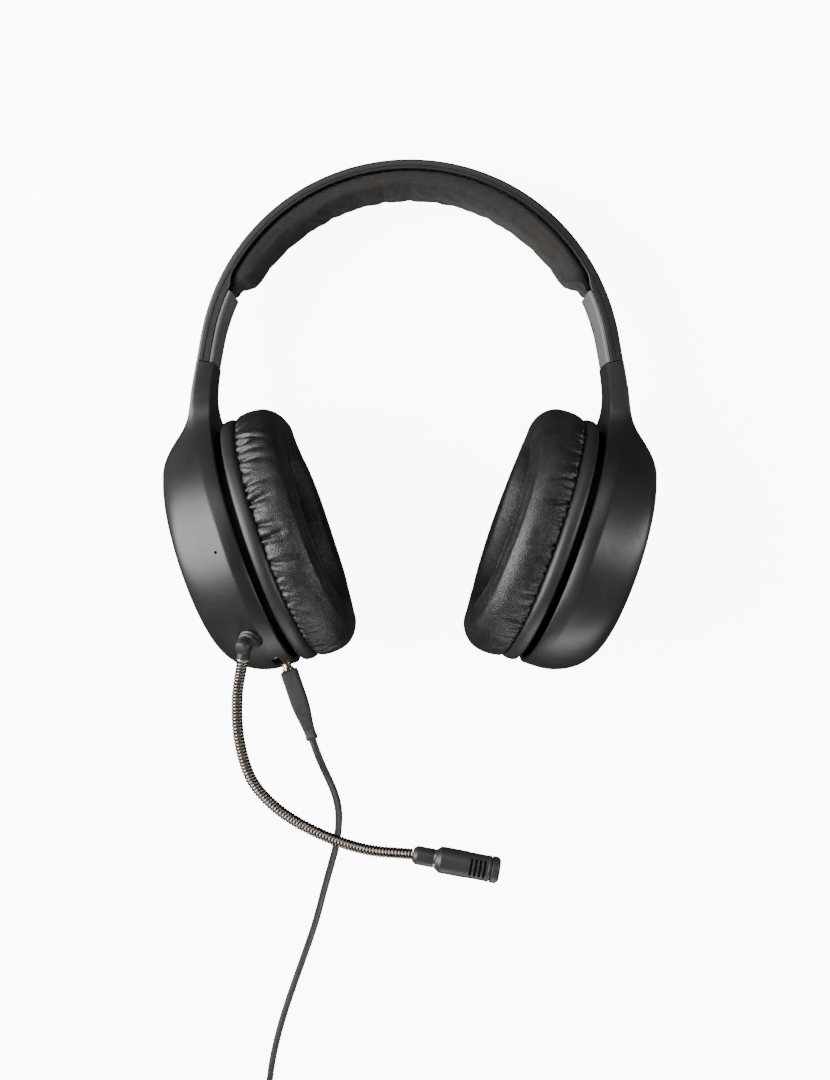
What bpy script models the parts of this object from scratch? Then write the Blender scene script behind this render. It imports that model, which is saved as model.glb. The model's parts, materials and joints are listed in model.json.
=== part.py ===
"""Over-ear gaming headset with a plug-in gooseneck microphone and a detachable cable.

All sizes are in millimetres and become metres when a mesh is written.

Frames used here:
  design frame  X across the head, Y towards the crown, Z out of the headset's own plane;
                its origin is the centre of the headband's arc.
  cup frame     s inwards along the left cup's axis, t up the cup, w as the design Z;
                its origin is the middle of the housing's mouth.
The right side is the left side mirrored in X. The headset lies on its back on a flat
surface, so an empty named lie tilts the design frame until cups and band touch down.
"""
import math

import bmesh
import bpy
from mathutils import Matrix, Vector

MM = 0.001
GAP = 0.3                     # clearance kept between neighbouring solids
SIDES = (("left", False), ("right", True))
MIRROR = Matrix.Diagonal((-1.0, 1.0, 1.0, 1.0))

# Headband, in the design frame
BAND_RADIUS = 83.2            # outer face of the arc
BAND_ARC_DEG = 80.0           # arc on each side of the crown, straight below
BAND_STRAIGHT = 9.0
BAND_HALF_TOP = 15.0          # half width at the crown
BAND_HALF_END = 12.0          # half width at the seam with the arm
WALL = 1.8
BAND_DEPTH = 5.0              # depth of the band's side walls at its ends
BAND_DEPTH_TOP = 3.6
PAD_REACH = 93.0              # along the band, from the crown
PAD_DEPTHS = (3.9, 12.4)
COVER_DEPTHS = (5.3, 6.7)
SCREW_REACH = 108.0
SCREW_ACROSS = -7.6
SPRING_DEPTHS = (2.2, 3.0)
SPRING_HALF = 7.0
SPRING_REACH = 94.0
GUIDE_REACH = (112.0, 123.0)  # the slider's guide, beside the strip
GUIDE_ACROSS = (4.4, 9.4)
GUIDE_DEPTHS = (2.1, 5.0)

# Slider
STRIP_HALF = 4.0
STRIP_THICK = 0.8
STRIP_DEPTH = 4.5             # below the band's outer face, at the seam
STRIP_UP = 27.0
STRIP_DOWN = 13.0
ARM_LEAN_DEG = 90.0 - BAND_ARC_DEG    # slide direction, away from straight down

# Cup frame placed in the design frame
CUP_CENTRE = (-59.25, -66.2)
CUP_LEAN_DEG = 19.0
TOE_DEG = 5.0                 # cushions turn a little out of the headset's plane

# Housing, in the cup frame
RIM_A, RIM_B = 49.5, 41.0     # half height and half depth at the rim
RIM_S = -1.2
RIDGE_S = -6.5
DISC_A, DISC_B = 34.5, 31.0
DISC_T = 1.5
DISC_S = -26.9
DISC_SLOPE = 0.02            # the outer disc leans a little less than the rim
FLARE_DEG = 50.0              # where the arm starts to grow out of the oval
FLARE_TOP = 60.0
ARM_FACE = ((36.0, -26.2), (41.0, -22.0), (46.3, -16.9), (51.3, -12.4), (58.0, -8.5),
            (65.3, -5.3), (75.8, 0.44), (84.5, 5.3))        # (t, s) down the middle of the arm's outside
ARM_BACK = ((49.5, -1.2), (55.0, -0.6), (62.0, 1.4), (72.5, 6.3), (81.2, 11.1))
ARM_TOP = 80.0                # before it is cut off at the seam
ARM_SHIFT = 3.2               # the arm's inside is square to the arm, not to the cup
RIDGE_LINE = ((40.0, RIDGE_S), (50.0, -6.9), (58.0, -6.2), (65.3, -3.9), (75.8, 1.7), (84.5, 6.6))
LIP = 0.965                   # the outer cap's recess, as a share of the disc
RECESS_DEPTH = 1.8
CAP_THICK = 1.5
MOUTH_A, MOUTH_B = 47.2, 38.7
CAVITY = ((-14.0, 46.0, 38.0, 0.0, 0.0), (-21.0, 39.5, 34.8, -1.7, 0.0),
          (-23.7, 33.5, 29.5, 0.0, DISC_SLOPE))     # (s, half height, half depth, t centre, slope)

# Inner cup, in the cup frame
SHELL_S = (1.8, 7.6)
SHELL_FLOOR = -4.5
CUSHION_BASE = 7.9
CUSHION_CREST = 26.0
BALL_S = -11.0
BALL_R = 4.0
DRIVER_R = 20.2

# Things on the left housing, in the cup frame
MIC_PORT = (-11.3, -34.4, 29.3)
MIC_AXIS = (-0.35, -0.4, 0.85)            # in the design frame
CABLE_PORT = (-4.9, -49.0, 7.0)
CHARGE_PORT = (-6.6, -46.6, 14.5)
CHARGE_INSET = 5.0            # the port's middle lies this far inside the opening's
PIN_HOLE = (-10.2, 1.0, 40.6)

# Microphone boom route in the design frame
BOOM_D = 4.4
BOOM_ROUTE = ((-63.0, -109.2, 30.2), (-64.2, -115.5, 28.6), (-65.4, -123.5, 28.2), (-65.3, -137.0, 27.6),
              (-63.3, -148.0, 27.0), (-59.7, -157.2, 26.4), (-53.5, -164.8, 25.6), (-45.5, -171.2, 25.0),
              (-31.5, -178.6, 24.0), (-16.5, -183.6, 23.0), (1.0, -185.6, 22.0))
BOOM_BEND = 5                 # the route point where the boom's bend is hinged
BOOM_GAP = 1.3                # lets the two halves turn 25 degrees without touching
BOOM_STEPS = 3                # tube points for each route point
CAPSULE_SAG_DEG = 10.7        # the capsule's axis below horizontal

# Plug of the cable, hung under the left cup
PLUG_START = 2.0              # below the socket's mouth
PLUG_LENGTH = 29.0

# How the headset lies: tilted about X until cups and band touch the surface
LIE_DEG = 10.4

# Cable, in the frame of the surface: Z up, origin below the middle of the headset
CABLE_D = 3.0
CABLE_ROUTE = ((-36.7, -92.2, 63.0), (-34.3, -98.6, 62.6), (-32.0, -105.0, 60.2), (-30.2, -111.8, 56.2),
               (-29.2, -118.6, 51.6), (-29.1, -125.8, 46.5), (-29.8, -133.9, 40.7), (-31.5, -144.9, 32.8),
               (-33.7, -154.5, 26.4), (-37.1, -168.7, 17.8), (-41.2, -186.0, 9.6), (-45.2, -199.9, 4.6),
               (-49.5, -213.0, 2.1), (-53.7, -225.4, 1.6), (-58.2, -239.8, 1.5), (-61.8, -254.2, 1.5),
               (-64.2, -268.8, 1.6), (-65.0, -281.5, 2.4))
COIL_CENTRE = (-43.5, -294.0)
COIL_RADII = (11.0, 23.0)     # four turns side by side
COIL_HEIGHTS = (0.9, 7.1)     # two layers, above the tie's strap
TIE_WIDTH = 7.0
TIE_THICK = 0.6
TAIL_ROUTE = ((-32.3, -316.1, 3.8), (-29.0, -316.2, 3.4), (-26.0, -316.2, 3.2))
END_PLUG_AT = (-25.7, -316.2, 3.2)


# ---------------------------------------------------------------- small tools

def clear_scene():
    for obj in list(bpy.data.objects):
        bpy.data.objects.remove(obj, do_unlink=True)


def material(name, colour, roughness, metallic=0.0):
    mat = bpy.data.materials.new(name)
    mat.use_nodes = True
    shader = mat.node_tree.nodes["Principled BSDF"]
    shader.inputs["Base Color"].default_value = (*colour, 1.0)
    shader.inputs["Roughness"].default_value = roughness
    shader.inputs["Metallic"].default_value = metallic
    return mat


def finish_mesh(name, bm, mat, parent, mirrored=False, sharp_deg=40.0):
    """Turns a bmesh in design millimetres into an object under its parent empty."""
    if mirrored:
        bmesh.ops.transform(bm, matrix=MIRROR, verts=bm.verts)
    bmesh.ops.recalc_face_normals(bm, faces=bm.faces)
    bmesh.ops.scale(bm, vec=(MM, MM, MM), verts=bm.verts)
    mesh = bpy.data.meshes.new(name)
    bm.to_mesh(mesh)
    bm.free()
    mesh.materials.append(mat)
    mesh.shade_smooth()
    mesh.set_sharp_from_angle(angle=math.radians(sharp_deg))
    obj = bpy.data.objects.new(name, mesh)
    bpy.context.collection.objects.link(obj)
    hang(obj, parent)
    return obj


def hang(obj, parent):
    """Parents an object whose mesh is in the design frame."""
    obj.parent = parent
    obj.matrix_parent_inverse = design_matrix(parent).inverted()


def design_matrix(empty):
    """Where an empty stands in the design frame, with the root's own lie left out."""
    matrix = Matrix.Identity(4)
    while empty.parent:
        matrix = empty.matrix_basis @ matrix
        empty = empty.parent
    return matrix


def add_empty(name, parent=None, at=(0.0, 0.0, 0.0)):
    empty = bpy.data.objects.new(name, None)
    bpy.context.collection.objects.link(empty)
    if parent:
        empty.parent = parent
        empty.location = Vector(at) * MM - design_matrix(parent).translation
    return empty


def skin(rings, closed=False):
    """Joins rings of points into one closed body. A ring of one point is a tip."""
    bm = bmesh.new()
    made = [[bm.verts.new(point) for point in ring] for ring in rings]
    pairs = list(zip(made, made[1:]))
    if closed:
        pairs.append((made[-1], made[0]))
    for first, second in pairs:
        count = max(len(first), len(second))
        for i in range(count):
            j = (i + 1) % count
            if len(first) == 1:
                bm.faces.new((first[0], second[i], second[j]))
            elif len(second) == 1:
                bm.faces.new((first[i], second[0], first[j]))
            else:
                bm.faces.new((first[i], second[i], second[j], first[j]))
    if not closed:
        for ring in (made[0], made[-1]):
            if len(ring) > 2:
                bm.faces.new(ring)
    return bm


def cut(obj, cutter_bm, name):
    """Takes a cutter given in design millimetres out of an object."""
    bmesh.ops.recalc_face_normals(cutter_bm, faces=cutter_bm.faces)
    bmesh.ops.scale(cutter_bm, vec=(MM, MM, MM), verts=cutter_bm.verts)
    mesh = bpy.data.meshes.new(name)
    cutter_bm.to_mesh(mesh)
    cutter_bm.free()
    cutter = bpy.data.objects.new(name, mesh)
    bpy.context.collection.objects.link(cutter)
    hang(cutter, obj.parent)
    cutter.hide_render = True
    cutter.display_type = "WIRE"
    boolean = obj.modifiers.new(name, "BOOLEAN")
    boolean.operation = "DIFFERENCE"
    boolean.object = cutter


def frame_along(axis):
    """A rotation whose Z is the given axis."""
    return Vector(axis).normalized().to_track_quat("Z", "Y").to_matrix().to_4x4()


def turned(profile, base, axis, sides=24):
    """A solid of revolution: profile holds (radius, height) pairs along the axis from base."""
    place = Matrix.Translation(Vector(base)) @ frame_along(axis)
    rings = []
    for radius, height in profile:
        if radius == 0.0:
            rings.append([place @ Vector((0.0, 0.0, height))])
            continue
        angles = [2.0 * math.pi * i / sides for i in range(sides)]
        rings.append([place @ Vector((radius * math.cos(a), radius * math.sin(a), height))
                      for a in angles])
    return rings


def rod(radius, base, axis, length, sides=16):
    return turned(((radius, 0.0), (radius, length)), base, axis, sides)


def block(centre, size, rotation=None):
    """The two rings of a box."""
    rotation = rotation or Matrix.Identity(4)
    place = Matrix.Translation(Vector(centre)) @ rotation
    corners = ((-1, -1), (1, -1), (1, 1), (-1, 1))
    half = Vector(size) / 2.0
    return [[place @ Vector((x * half.x, y * half.y, z * half.z)) for x, y in corners] for z in (-1, 1)]


def eased(x, low, high):
    u = min(max((x - low) / (high - low), 0.0), 1.0)
    return u * u * (3.0 - 2.0 * u)


def mixed(a, b, u):
    return a + (b - a) * u


def along_table(table, x):
    """A smooth curve through (x, value) pairs, straight beyond its ends."""
    count = len(table)
    i = 0
    while i < count - 2 and x > table[i + 1][0]:
        i += 1
    (x0, y0), (x1, y1) = table[i], table[i + 1]

    def slope(k):
        low, high = max(k - 1, 0), min(k + 1, count - 1)
        return (table[high][1] - table[low][1]) / (table[high][0] - table[low][0])

    if x <= table[0][0] or x >= table[-1][0]:
        end = 0 if x <= table[0][0] else count - 1
        return table[end][1] + slope(end) * (x - table[end][0])
    u, h = (x - x0) / (x1 - x0), x1 - x0
    return ((2 * u**3 - 3 * u**2 + 1) * y0 + (u**3 - 2 * u**2 + u) * h * slope(i)
            + (3 * u**2 - 2 * u**3) * y1 + (u**3 - u**2) * h * slope(i + 1))


def smooth_curve(points, steps):
    """A centripetal Catmull-Rom curve through the points."""
    points = [Vector(p) for p in points]
    ends = [points[0] * 2 - points[1], *points, points[-1] * 2 - points[-2]]
    result = []
    for p0, p1, p2, p3 in zip(ends, ends[1:], ends[2:], ends[3:]):
        t1 = (p1 - p0).length ** 0.5
        t2 = t1 + (p2 - p1).length ** 0.5
        t3 = t2 + (p3 - p2).length ** 0.5
        for k in range(steps):
            t = mixed(t1, t2, k / steps)
            a1 = p0.lerp(p1, t / t1)
            a2 = p1.lerp(p2, (t - t1) / (t2 - t1))
            a3 = p2.lerp(p3, (t - t2) / (t3 - t2))
            b1 = a1.lerp(a2, t / t2)
            b2 = a2.lerp(a3, (t - t1) / (t3 - t1))
            result.append(b1.lerp(b2, (t - t1) / (t2 - t1)))
    result.append(points[-1])
    return result


def tube(name, points, diameter, mat, parent, resolution=2):
    """A round tube along points in design millimetres."""
    curve = bpy.data.curves.new(name, "CURVE")
    curve.dimensions = "3D"
    curve.bevel_depth = diameter * MM / 2.0
    curve.bevel_resolution = resolution
    curve.use_fill_caps = True
    spline = curve.splines.new("POLY")
    spline.points.add(len(points) - 1)
    for place, point in zip(spline.points, points):
        place.co = (*(Vector(point) * MM), 1.0)
    curve.materials.append(mat)
    obj = bpy.data.objects.new(name, curve)
    bpy.context.collection.objects.link(obj)
    hang(obj, parent)
    return obj


# ---------------------------------------------------------------- headband

def band_point(reach, depth):
    """The place at a signed length from the crown along the band's outer face, and a depth below it."""
    arc_length = BAND_RADIUS * math.radians(BAND_ARC_DEG)
    side = math.copysign(1.0, reach)
    angle = min(abs(reach), arc_length) / BAND_RADIUS
    beyond = max(abs(reach) - arc_length, 0.0)
    out = Vector((side * math.sin(angle), math.cos(angle), 0.0))
    down = Vector((side * math.cos(angle), -math.sin(angle), 0.0))
    return out * (BAND_RADIUS - depth) + down * beyond


BAND_REACH = BAND_RADIUS * math.radians(BAND_ARC_DEG) + BAND_STRAIGHT


def band_half_width(reach):
    return mixed(BAND_HALF_TOP, BAND_HALF_END, eased(abs(reach), 40.0, BAND_REACH))


def band_sweep(section, reaches):
    """Sweeps a section along the band; section(reach) gives (depth, across) pairs."""
    rings = []
    for reach in reaches:
        ring = []
        for depth, across in section(reach):
            place = band_point(reach, depth)
            ring.append(Vector((place.x, place.y, across)))
        rings.append(ring)
    return rings


def steps_between(low, high, count):
    return [mixed(low, high, i / count) for i in range(count + 1)]


def shell_section(reach):
    half = band_half_width(reach)
    side = mixed(BAND_DEPTH_TOP, BAND_DEPTH, eased(abs(reach), PAD_REACH - 5.0, PAD_REACH + 1.0))
    edge = 1.2
    outer = [(edge, half), (0.0, half - edge), (0.0, edge - half), (edge, -half)]
    inner = [(side, -half), (side, WALL - half), (WALL, WALL - half),
             (WALL, half - WALL), (side, half - WALL), (side, half)]
    return outer + inner


def pad_section(reach):
    near_end = eased(abs(reach), PAD_REACH - 6.0, PAD_REACH)
    half = band_half_width(reach) - 1.4 - 2.0 * near_end
    top = PAD_DEPTHS[0]
    low = mixed(PAD_DEPTHS[1], PAD_DEPTHS[1] - 4.0, near_end)
    middle = (top + low) / 2.0
    return [(top, half - 1.5), (top, 1.5 - half), (top + 1.5, 0.3 - half), (middle + 0.8, -half),
            (low - 1.6, 1.2 - half), (low, 5.0 - half), (low, half - 5.0), (low - 1.6, half - 1.2),
            (middle + 0.8, half), (top + 1.5, half - 0.3)]


def flat_section(depths, half):
    return lambda reach: [(depths[0], half), (depths[0], -half), (depths[1], -half), (depths[1], half)]


def cover_section(reach):
    half = band_half_width(reach)
    top, low = COVER_DEPTHS
    return [(top, half), (top, -half), (low - 0.6, -half), (low, 0.8 - half),
            (low, half - 0.8), (low - 0.6, half)]


def make_headband(root, looks):
    whole = steps_between(-BAND_REACH, BAND_REACH, 40)
    finish_mesh("headband_shell", skin(band_sweep(shell_section, whole)), looks["shell"], root)
    spring = band_sweep(flat_section(SPRING_DEPTHS, SPRING_HALF),
                        steps_between(-SPRING_REACH, SPRING_REACH, 26))
    finish_mesh("spring_band", skin(spring), looks["steel"], root)
    pad = band_sweep(pad_section, steps_between(-PAD_REACH, PAD_REACH, 34))
    finish_mesh("headband_pad", skin(pad), looks["pad"], root)
    for side_name, mirrored in SIDES:
        make_end_cover(side_name, mirrored, root, looks)
        low, high = GUIDE_ACROSS
        top, bottom = GUIDE_DEPTHS
        guide = band_sweep(lambda reach: [(top, high), (top, low), (bottom, low), (bottom, high)],
                           [-reach for reach in steps_between(*GUIDE_REACH, 3)])
        finish_mesh(f"slider_guide_{side_name}", skin(guide), looks["cover"], root, mirrored)


def make_end_cover(side_name, mirrored, root, looks):
    """The cover inside the band's end, with a countersunk hole, and its screw."""
    reaches = [-reach for reach in steps_between(PAD_REACH + 2.0, BAND_REACH, 8)]
    cover = finish_mesh(f"end_cover_{side_name}", skin(band_sweep(cover_section, reaches)),
                        looks["cover"], root, mirrored)
    hole_at = band_point(-SCREW_REACH, 0.0) + Vector((0.0, 0.0, SCREW_ACROSS))
    inward = (band_point(-SCREW_REACH, 1.0) - band_point(-SCREW_REACH, 0.0)).normalized()
    top, low = COVER_DEPTHS
    hole = skin(rod(1.0, hole_at + inward * (top - 1.0), inward, 4.0, 12))
    seat = skin(rod(2.1, hole_at + inward * (low - 0.9), inward, 2.0, 12))
    for cutter, label in ((hole, "screw_hole"), (seat, "screw_seat")):
        if mirrored:
            bmesh.ops.transform(cutter, matrix=MIRROR, verts=cutter.verts)
        cut(cover, cutter, f"{label}_{side_name}")
    profile = ((0.0, 2.2), (0.7, 2.2), (0.7, 6.1), (1.8, 6.1), (1.8, 6.6), (1.4, 6.9), (0.0, 6.9))
    finish_mesh(f"end_screw_{side_name}", skin(turned(profile, hole_at, inward, 12)),
                looks["steel"], root, mirrored)


# ---------------------------------------------------------------- arm and housing

def cup_matrix(toe_deg=TOE_DEG):
    lean = Matrix.Rotation(math.radians(CUP_LEAN_DEG), 4, "Z")
    toe = Matrix.Rotation(math.radians(-toe_deg), 4, "Y")
    return Matrix.Translation((*CUP_CENTRE, 0.0)) @ lean @ toe


def in_cup(s, t, w):
    """A point of the cup frame in the design frame. The arm above the cup isn't toed."""
    toe = mixed(TOE_DEG, 0.0, eased(t, 44.0, 70.0))
    return cup_matrix(toe) @ Vector((s, t, w))


def cup_direction(s, t, w):
    return (cup_matrix().to_3x3() @ Vector((s, t, w))).normalized()


def housing_outline():
    """(t, w) points round the housing and arm, from the foot of the cup up one side and down the other."""
    flare = math.radians(FLARE_DEG)
    half = []
    for i in range(14):
        angle = mixed(math.pi, flare, i / 13)
        half.append((RIM_A * math.cos(angle), RIM_B * math.sin(angle)))
    start = half[-1]
    rise, run = RIM_A * math.sin(flare), -RIM_B * math.cos(flare)
    reach = 15.0 / math.hypot(rise, run)
    controls = (start, (start[0] + rise * reach, start[1] + run * reach),
                (FLARE_TOP - 12.0, BAND_HALF_END + 0.1), (FLARE_TOP, BAND_HALF_END))
    half += [bezier(controls, i / 6)[:2] for i in range(1, 7)]
    half += [(mixed(FLARE_TOP, ARM_TOP, i / 4), BAND_HALF_END) for i in range(1, 5)]
    half += [(ARM_TOP, BAND_HALF_END * f) for f in (0.85, 0.4, 0.0)]
    return half + [(t, -w) for t, w in reversed(half[1:-1])]


def bezier(controls, u):
    weights = ((1 - u) ** 3, 3 * u * (1 - u) ** 2, 3 * u * u * (1 - u), u**3)
    return tuple(sum(weight * c[k] for weight, c in zip(weights, controls)) for k in range(len(controls[0])))


def ridge_height(t, w):
    if t < RIDGE_LINE[0][0]:
        return RIDGE_S
    edge = eased(abs(w), BAND_HALF_END * 0.85, BAND_HALF_END)
    rounded = mixed(along_table(ARM_FACE, t), along_table(RIDGE_LINE, t), edge)
    return mixed(along_table(RIDGE_LINE, t), rounded, eased(t, 70.0, ARM_TOP))


def outer_point(t, w, u):
    """A point on the housing's outside, from the ridge at u = 0 to the outer disc's edge at u = 1."""
    angle = math.atan2(w / RIM_B, (t - DISC_T) / RIM_A)
    ridge = (ridge_height(t, w), t, w)
    disc_t = DISC_T + DISC_A * math.cos(angle)
    disc = (DISC_S + DISC_SLOPE * disc_t, disc_t, DISC_B * math.sin(angle))
    steep = (ridge[0] - 12.5, t, w)
    flat = (disc[0], mixed(disc[1], t, 0.6), mixed(disc[2], w, 0.6))
    bowl = bezier((ridge, steep, flat, disc), u)
    arm_t, arm_w = mixed(t, disc_t, u), mixed(w, disc[2], u)
    away = math.hypot(arm_t - t, arm_w - w)
    face = along_table(ARM_FACE, arm_t)
    start = along_table(ARM_FACE, t)
    arm_s = face + (ridge[0] - start) * math.exp(-away / 1.5)
    arm_like = eased(t, 44.0, 60.0)
    return tuple(mixed(a, b, arm_like) for a, b in zip(bowl, (arm_s, arm_t, arm_w)))


def inner_edge(t, w):
    low_t = t - ARM_SHIFT * eased(t, 52.0, ARM_TOP)
    back = along_table(ARM_BACK, low_t) if low_t > ARM_BACK[0][0] else RIM_S
    return (back, low_t, w)


def disc_ring(share, behind):
    """The outer disc's outline, shrunk to a share of its size and set back from its face."""
    ring = []
    for t, w in housing_outline():
        _, disc_t, disc_w = outer_point(t, w, 1.0)
        near_t = mixed(DISC_T, disc_t, share)
        ring.append((DISC_S + DISC_SLOPE * near_t + behind, near_t, disc_w * share))
    return ring


def back_rings(outline):
    """From the rim's edge across the flat rim to the mouth of the cavity."""
    edges = [inner_edge(t, w) for t, w in outline]
    mouth = []
    for t, w in outline:
        angle = math.atan2(w / RIM_B, t / RIM_A)
        mouth.append((RIM_S, MOUTH_A * math.cos(angle), MOUTH_B * math.sin(angle)))
    rings = [edges]
    for u in (0.35, 0.7):
        ring = []
        for edge, target in zip(edges, mouth):
            t, w = mixed(edge[1], target[1], u), mixed(edge[2], target[2], u)
            ring.append((along_table(ARM_BACK, t) if t > ARM_BACK[0][0] else RIM_S, t, w))
        rings.append(ring)
    return rings + [mouth]


def cavity_rings(outline):
    angles = [math.atan2(w / RIM_B, t / RIM_A) for t, w in outline]
    rings = []
    for s, a, b, t0, slope in CAVITY:
        rings.append([(s + slope * (t0 + a * math.cos(angle)), t0 + a * math.cos(angle), b * math.sin(angle))
                      for angle in angles])
    return rings + [[(CAVITY[-1][0], 0.0, 0.0)]]


def housing_rings():
    outline = housing_outline()
    rings = [[(DISC_S + DISC_SLOPE * DISC_T + RECESS_DEPTH, DISC_T, 0.0)], disc_ring(LIP, RECESS_DEPTH),
             disc_ring(LIP, 0.0)]
    for u in (1.0, 0.82, 0.64, 0.46, 0.28, 0.12, 0.0):
        rings.append([outer_point(t, w, u) for t, w in outline])
    rings += back_rings(outline) + cavity_rings(outline)
    return [[in_cup(*point) for point in ring] for ring in rings]


def oval_rings(profile, sides):
    """Rings of the cup frame from (s, half height, half depth, t centre) rows; a zero size is a tip."""
    rings = []
    for s, a, b, t0 in profile:
        if a == 0.0:
            rings.append([cup_matrix() @ Vector((s, t0, 0.0))])
            continue
        angles = [2.0 * math.pi * i / sides for i in range(sides)]
        rings.append([cup_matrix() @ Vector((s, t0 + a * math.cos(x), b * math.sin(x))) for x in angles])
    return rings


def strip_frame():
    """Where the slider strip crosses the seam, and the direction it slides in."""
    lean = math.radians(ARM_LEAN_DEG)
    return band_point(-BAND_REACH, STRIP_DEPTH), Vector((-math.sin(lean), -math.cos(lean), 0.0))


def strip_block(up, down, thick, half):
    seam, down_way = strip_frame()
    turn = Matrix.Rotation(-math.radians(ARM_LEAN_DEG), 4, "Z")
    centre = seam + down_way * ((down - up) / 2.0)
    return block(centre, (thick, up + down, 2.0 * half), turn)


def cut_at_seam(bm):
    """Trims the arm square to the band's end, a gap below it."""
    end = band_point(-BAND_REACH, 0.0)
    down = (end - band_point(1.0 - BAND_REACH, 0.0)).normalized()
    parts = bm.verts[:] + bm.edges[:] + bm.faces[:]
    cut_edges = bmesh.ops.bisect_plane(bm, geom=parts, plane_co=end + down * GAP, plane_no=-down,
                                       clear_outer=True)
    rim = [part for part in cut_edges["geom_cut"] if isinstance(part, bmesh.types.BMEdge)]
    bmesh.ops.contextual_create(bm, geom=rim)


def make_arm(side_name, mirrored, empty, looks):
    solid = skin(housing_rings())
    cut_at_seam(solid)
    housing = finish_mesh(f"housing_{side_name}", solid, looks["shell"], empty, mirrored, 30.0)
    pocket = skin(strip_block(6.0, STRIP_DOWN + GAP, STRIP_THICK + 2.0 * GAP, STRIP_HALF + GAP))
    if mirrored:
        bmesh.ops.transform(pocket, matrix=MIRROR, verts=pocket.verts)
    cut(housing, pocket, f"strip_pocket_{side_name}")
    strip = skin(strip_block(STRIP_UP, STRIP_DOWN, STRIP_THICK, STRIP_HALF))
    finish_mesh(f"slider_strip_{side_name}", strip, looks["steel"], empty, mirrored)
    finish_mesh(f"outer_cap_{side_name}", skin(cap_rings()), looks["cap"], empty, mirrored)
    finish_mesh(f"pivot_socket_{side_name}", skin(pivot_socket_rings()), looks["inner"], empty, mirrored)
    return housing


def cap_rings():
    """The disc that closes the housing's outside, flush with its lip."""
    share = LIP - GAP / DISC_B
    middle = DISC_S + DISC_SLOPE * DISC_T
    rings = [[(middle + CAP_THICK, DISC_T, 0.0)], disc_ring(share, CAP_THICK), disc_ring(share, 0.5),
             disc_ring(share * 0.975, 0.0), [(middle, DISC_T, 0.0)]]
    return [[cup_matrix() @ Vector(point) for point in ring] for ring in rings]


def pivot_socket_rings():
    """The housing's post, hollowed at its end round the back of the ball."""
    hollow = BALL_R + GAP
    profile = [(0.0, -12.3), (9.0, -12.3), (9.0, -11.3), (6.2, -10.2), (6.2, -hollow * 0.5)]
    arc = map(math.radians, (60.0, 40.0, 20.0))
    profile += [(hollow * math.sin(x), -hollow * math.cos(x)) for x in arc]
    centre = cup_matrix() @ Vector((BALL_S, 0.0, 0.0))
    return turned(profile + [(0.0, -hollow)], centre, cup_direction(1, 0, 0), 16)


# ---------------------------------------------------------------- inner cup

def make_pivot(side_name, mirrored, empty, looks):
    centre = cup_matrix() @ Vector((BALL_S, 0.0, 0.0))
    arc = [(BALL_R * math.sin(x), -BALL_R * math.cos(x)) for x in map(math.radians, range(30, 180, 30))]
    profile = [(0.0, -BALL_R), *arc, (0.0, BALL_R)]
    finish_mesh(f"pivot_ball_{side_name}", skin(turned(profile, centre, cup_direction(1, 0, 0), 16)),
                looks["steel"], empty, mirrored)


def inner_shell_profile():
    low, high = SHELL_S
    floor = SHELL_FLOOR
    return ((floor - 1.6, 0.0, 0.0, 0.0), (floor - 1.6, 29.0, 24.0, 0.0), (floor, 36.5, 33.0, 0.0),
            (-1.0, 38.0, 34.2, 0.0), (low, 38.4, 34.5, 0.0), (low, 48.8, 40.3, 0.0),
            (low + 1.0, 50.0, 41.5, 0.0), (high - 1.0, 50.0, 41.5, 0.0), (high, 49.0, 40.5, 0.0),
            (high, 42.0, 33.5, 0.0), (3.7, 41.0, 32.6, 0.0), (3.6, 36.6, 32.4, 0.0), (-1.0, 36.2, 32.2, 0.0),
            (floor + 1.2, 34.6, 30.6, 0.0), (floor, 28.0, 23.0, 0.0), (floor, 0.0, 0.0, 0.0))


def pivot_collar_profile():
    """Round the front of the ball, down to a foot that stands on the inner shell's back."""
    hollow = BALL_R + GAP
    back = SHELL_FLOOR - 1.6 - GAP - BALL_S
    dome = [(hollow * math.sin(x), hollow * math.cos(x)) for x in map(math.radians, (20.0, 40.0, 60.0))]
    foot = [(6.0, hollow * 0.5), (6.0, back - 0.4), (9.0, back - 0.3), (9.0, back), (0.0, back)]
    return [(0.0, hollow), *dome, *foot]


def make_driver(side_name, mirrored, empty, looks):
    """The loudspeaker in its baffle, and the cloth-covered grille in front of it."""
    cup = cup_matrix()
    inward = cup_direction(1, 0, 0)
    front = cup @ Vector((0.0, 0.0, 0.0))
    baffle = ((4.0, DRIVER_R + 0.4, DRIVER_R + 0.4, 0.0), (4.0, 40.6, 32.2, 0.0),
              (5.4, 40.6, 32.2, 0.0), (5.4, DRIVER_R + 0.4, DRIVER_R + 0.4, 0.0))
    basket = ((9.4, -3.4), (17.0, -1.0), (DRIVER_R, 2.6), (DRIVER_R, 5.2),
              (18.6, 5.2), (18.6, 3.2), (16.2, 0.4), (9.4, -1.8))
    cone = ((0.0, 1.2), (9.0, 1.0), (18.2, 3.4), (18.2, 4.1), (13.0, 3.4), (9.0, 1.7), (0.0, 3.2))
    scrim = ((5.8, 0.0, 0.0, 0.0), (5.8, 33.0, 25.0, 0.0), (6.6, 33.0, 25.0, 0.0), (7.0, 30.0, 22.0, 0.0),
             (7.2, 0.0, 0.0, 0.0))
    magnet = rod(9.0, cup @ Vector((-4.0, 0.0, 0.0)), inward, 2.6, 20)
    for name, body, look in (("baffle", skin(oval_rings(baffle, 28), closed=True), "inner"),
                             ("driver_basket", skin(turned(basket, front, inward, 20), True), "steel"),
                             ("driver_magnet", skin(magnet), "magnet"),
                             ("driver_cone", skin(turned(cone, front, inward, 20)), "cone"),
                             ("driver_scrim", skin(oval_rings(scrim, 28)), "scrim")):
        finish_mesh(f"{name}_{side_name}", body, looks[look], empty, mirrored)


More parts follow.
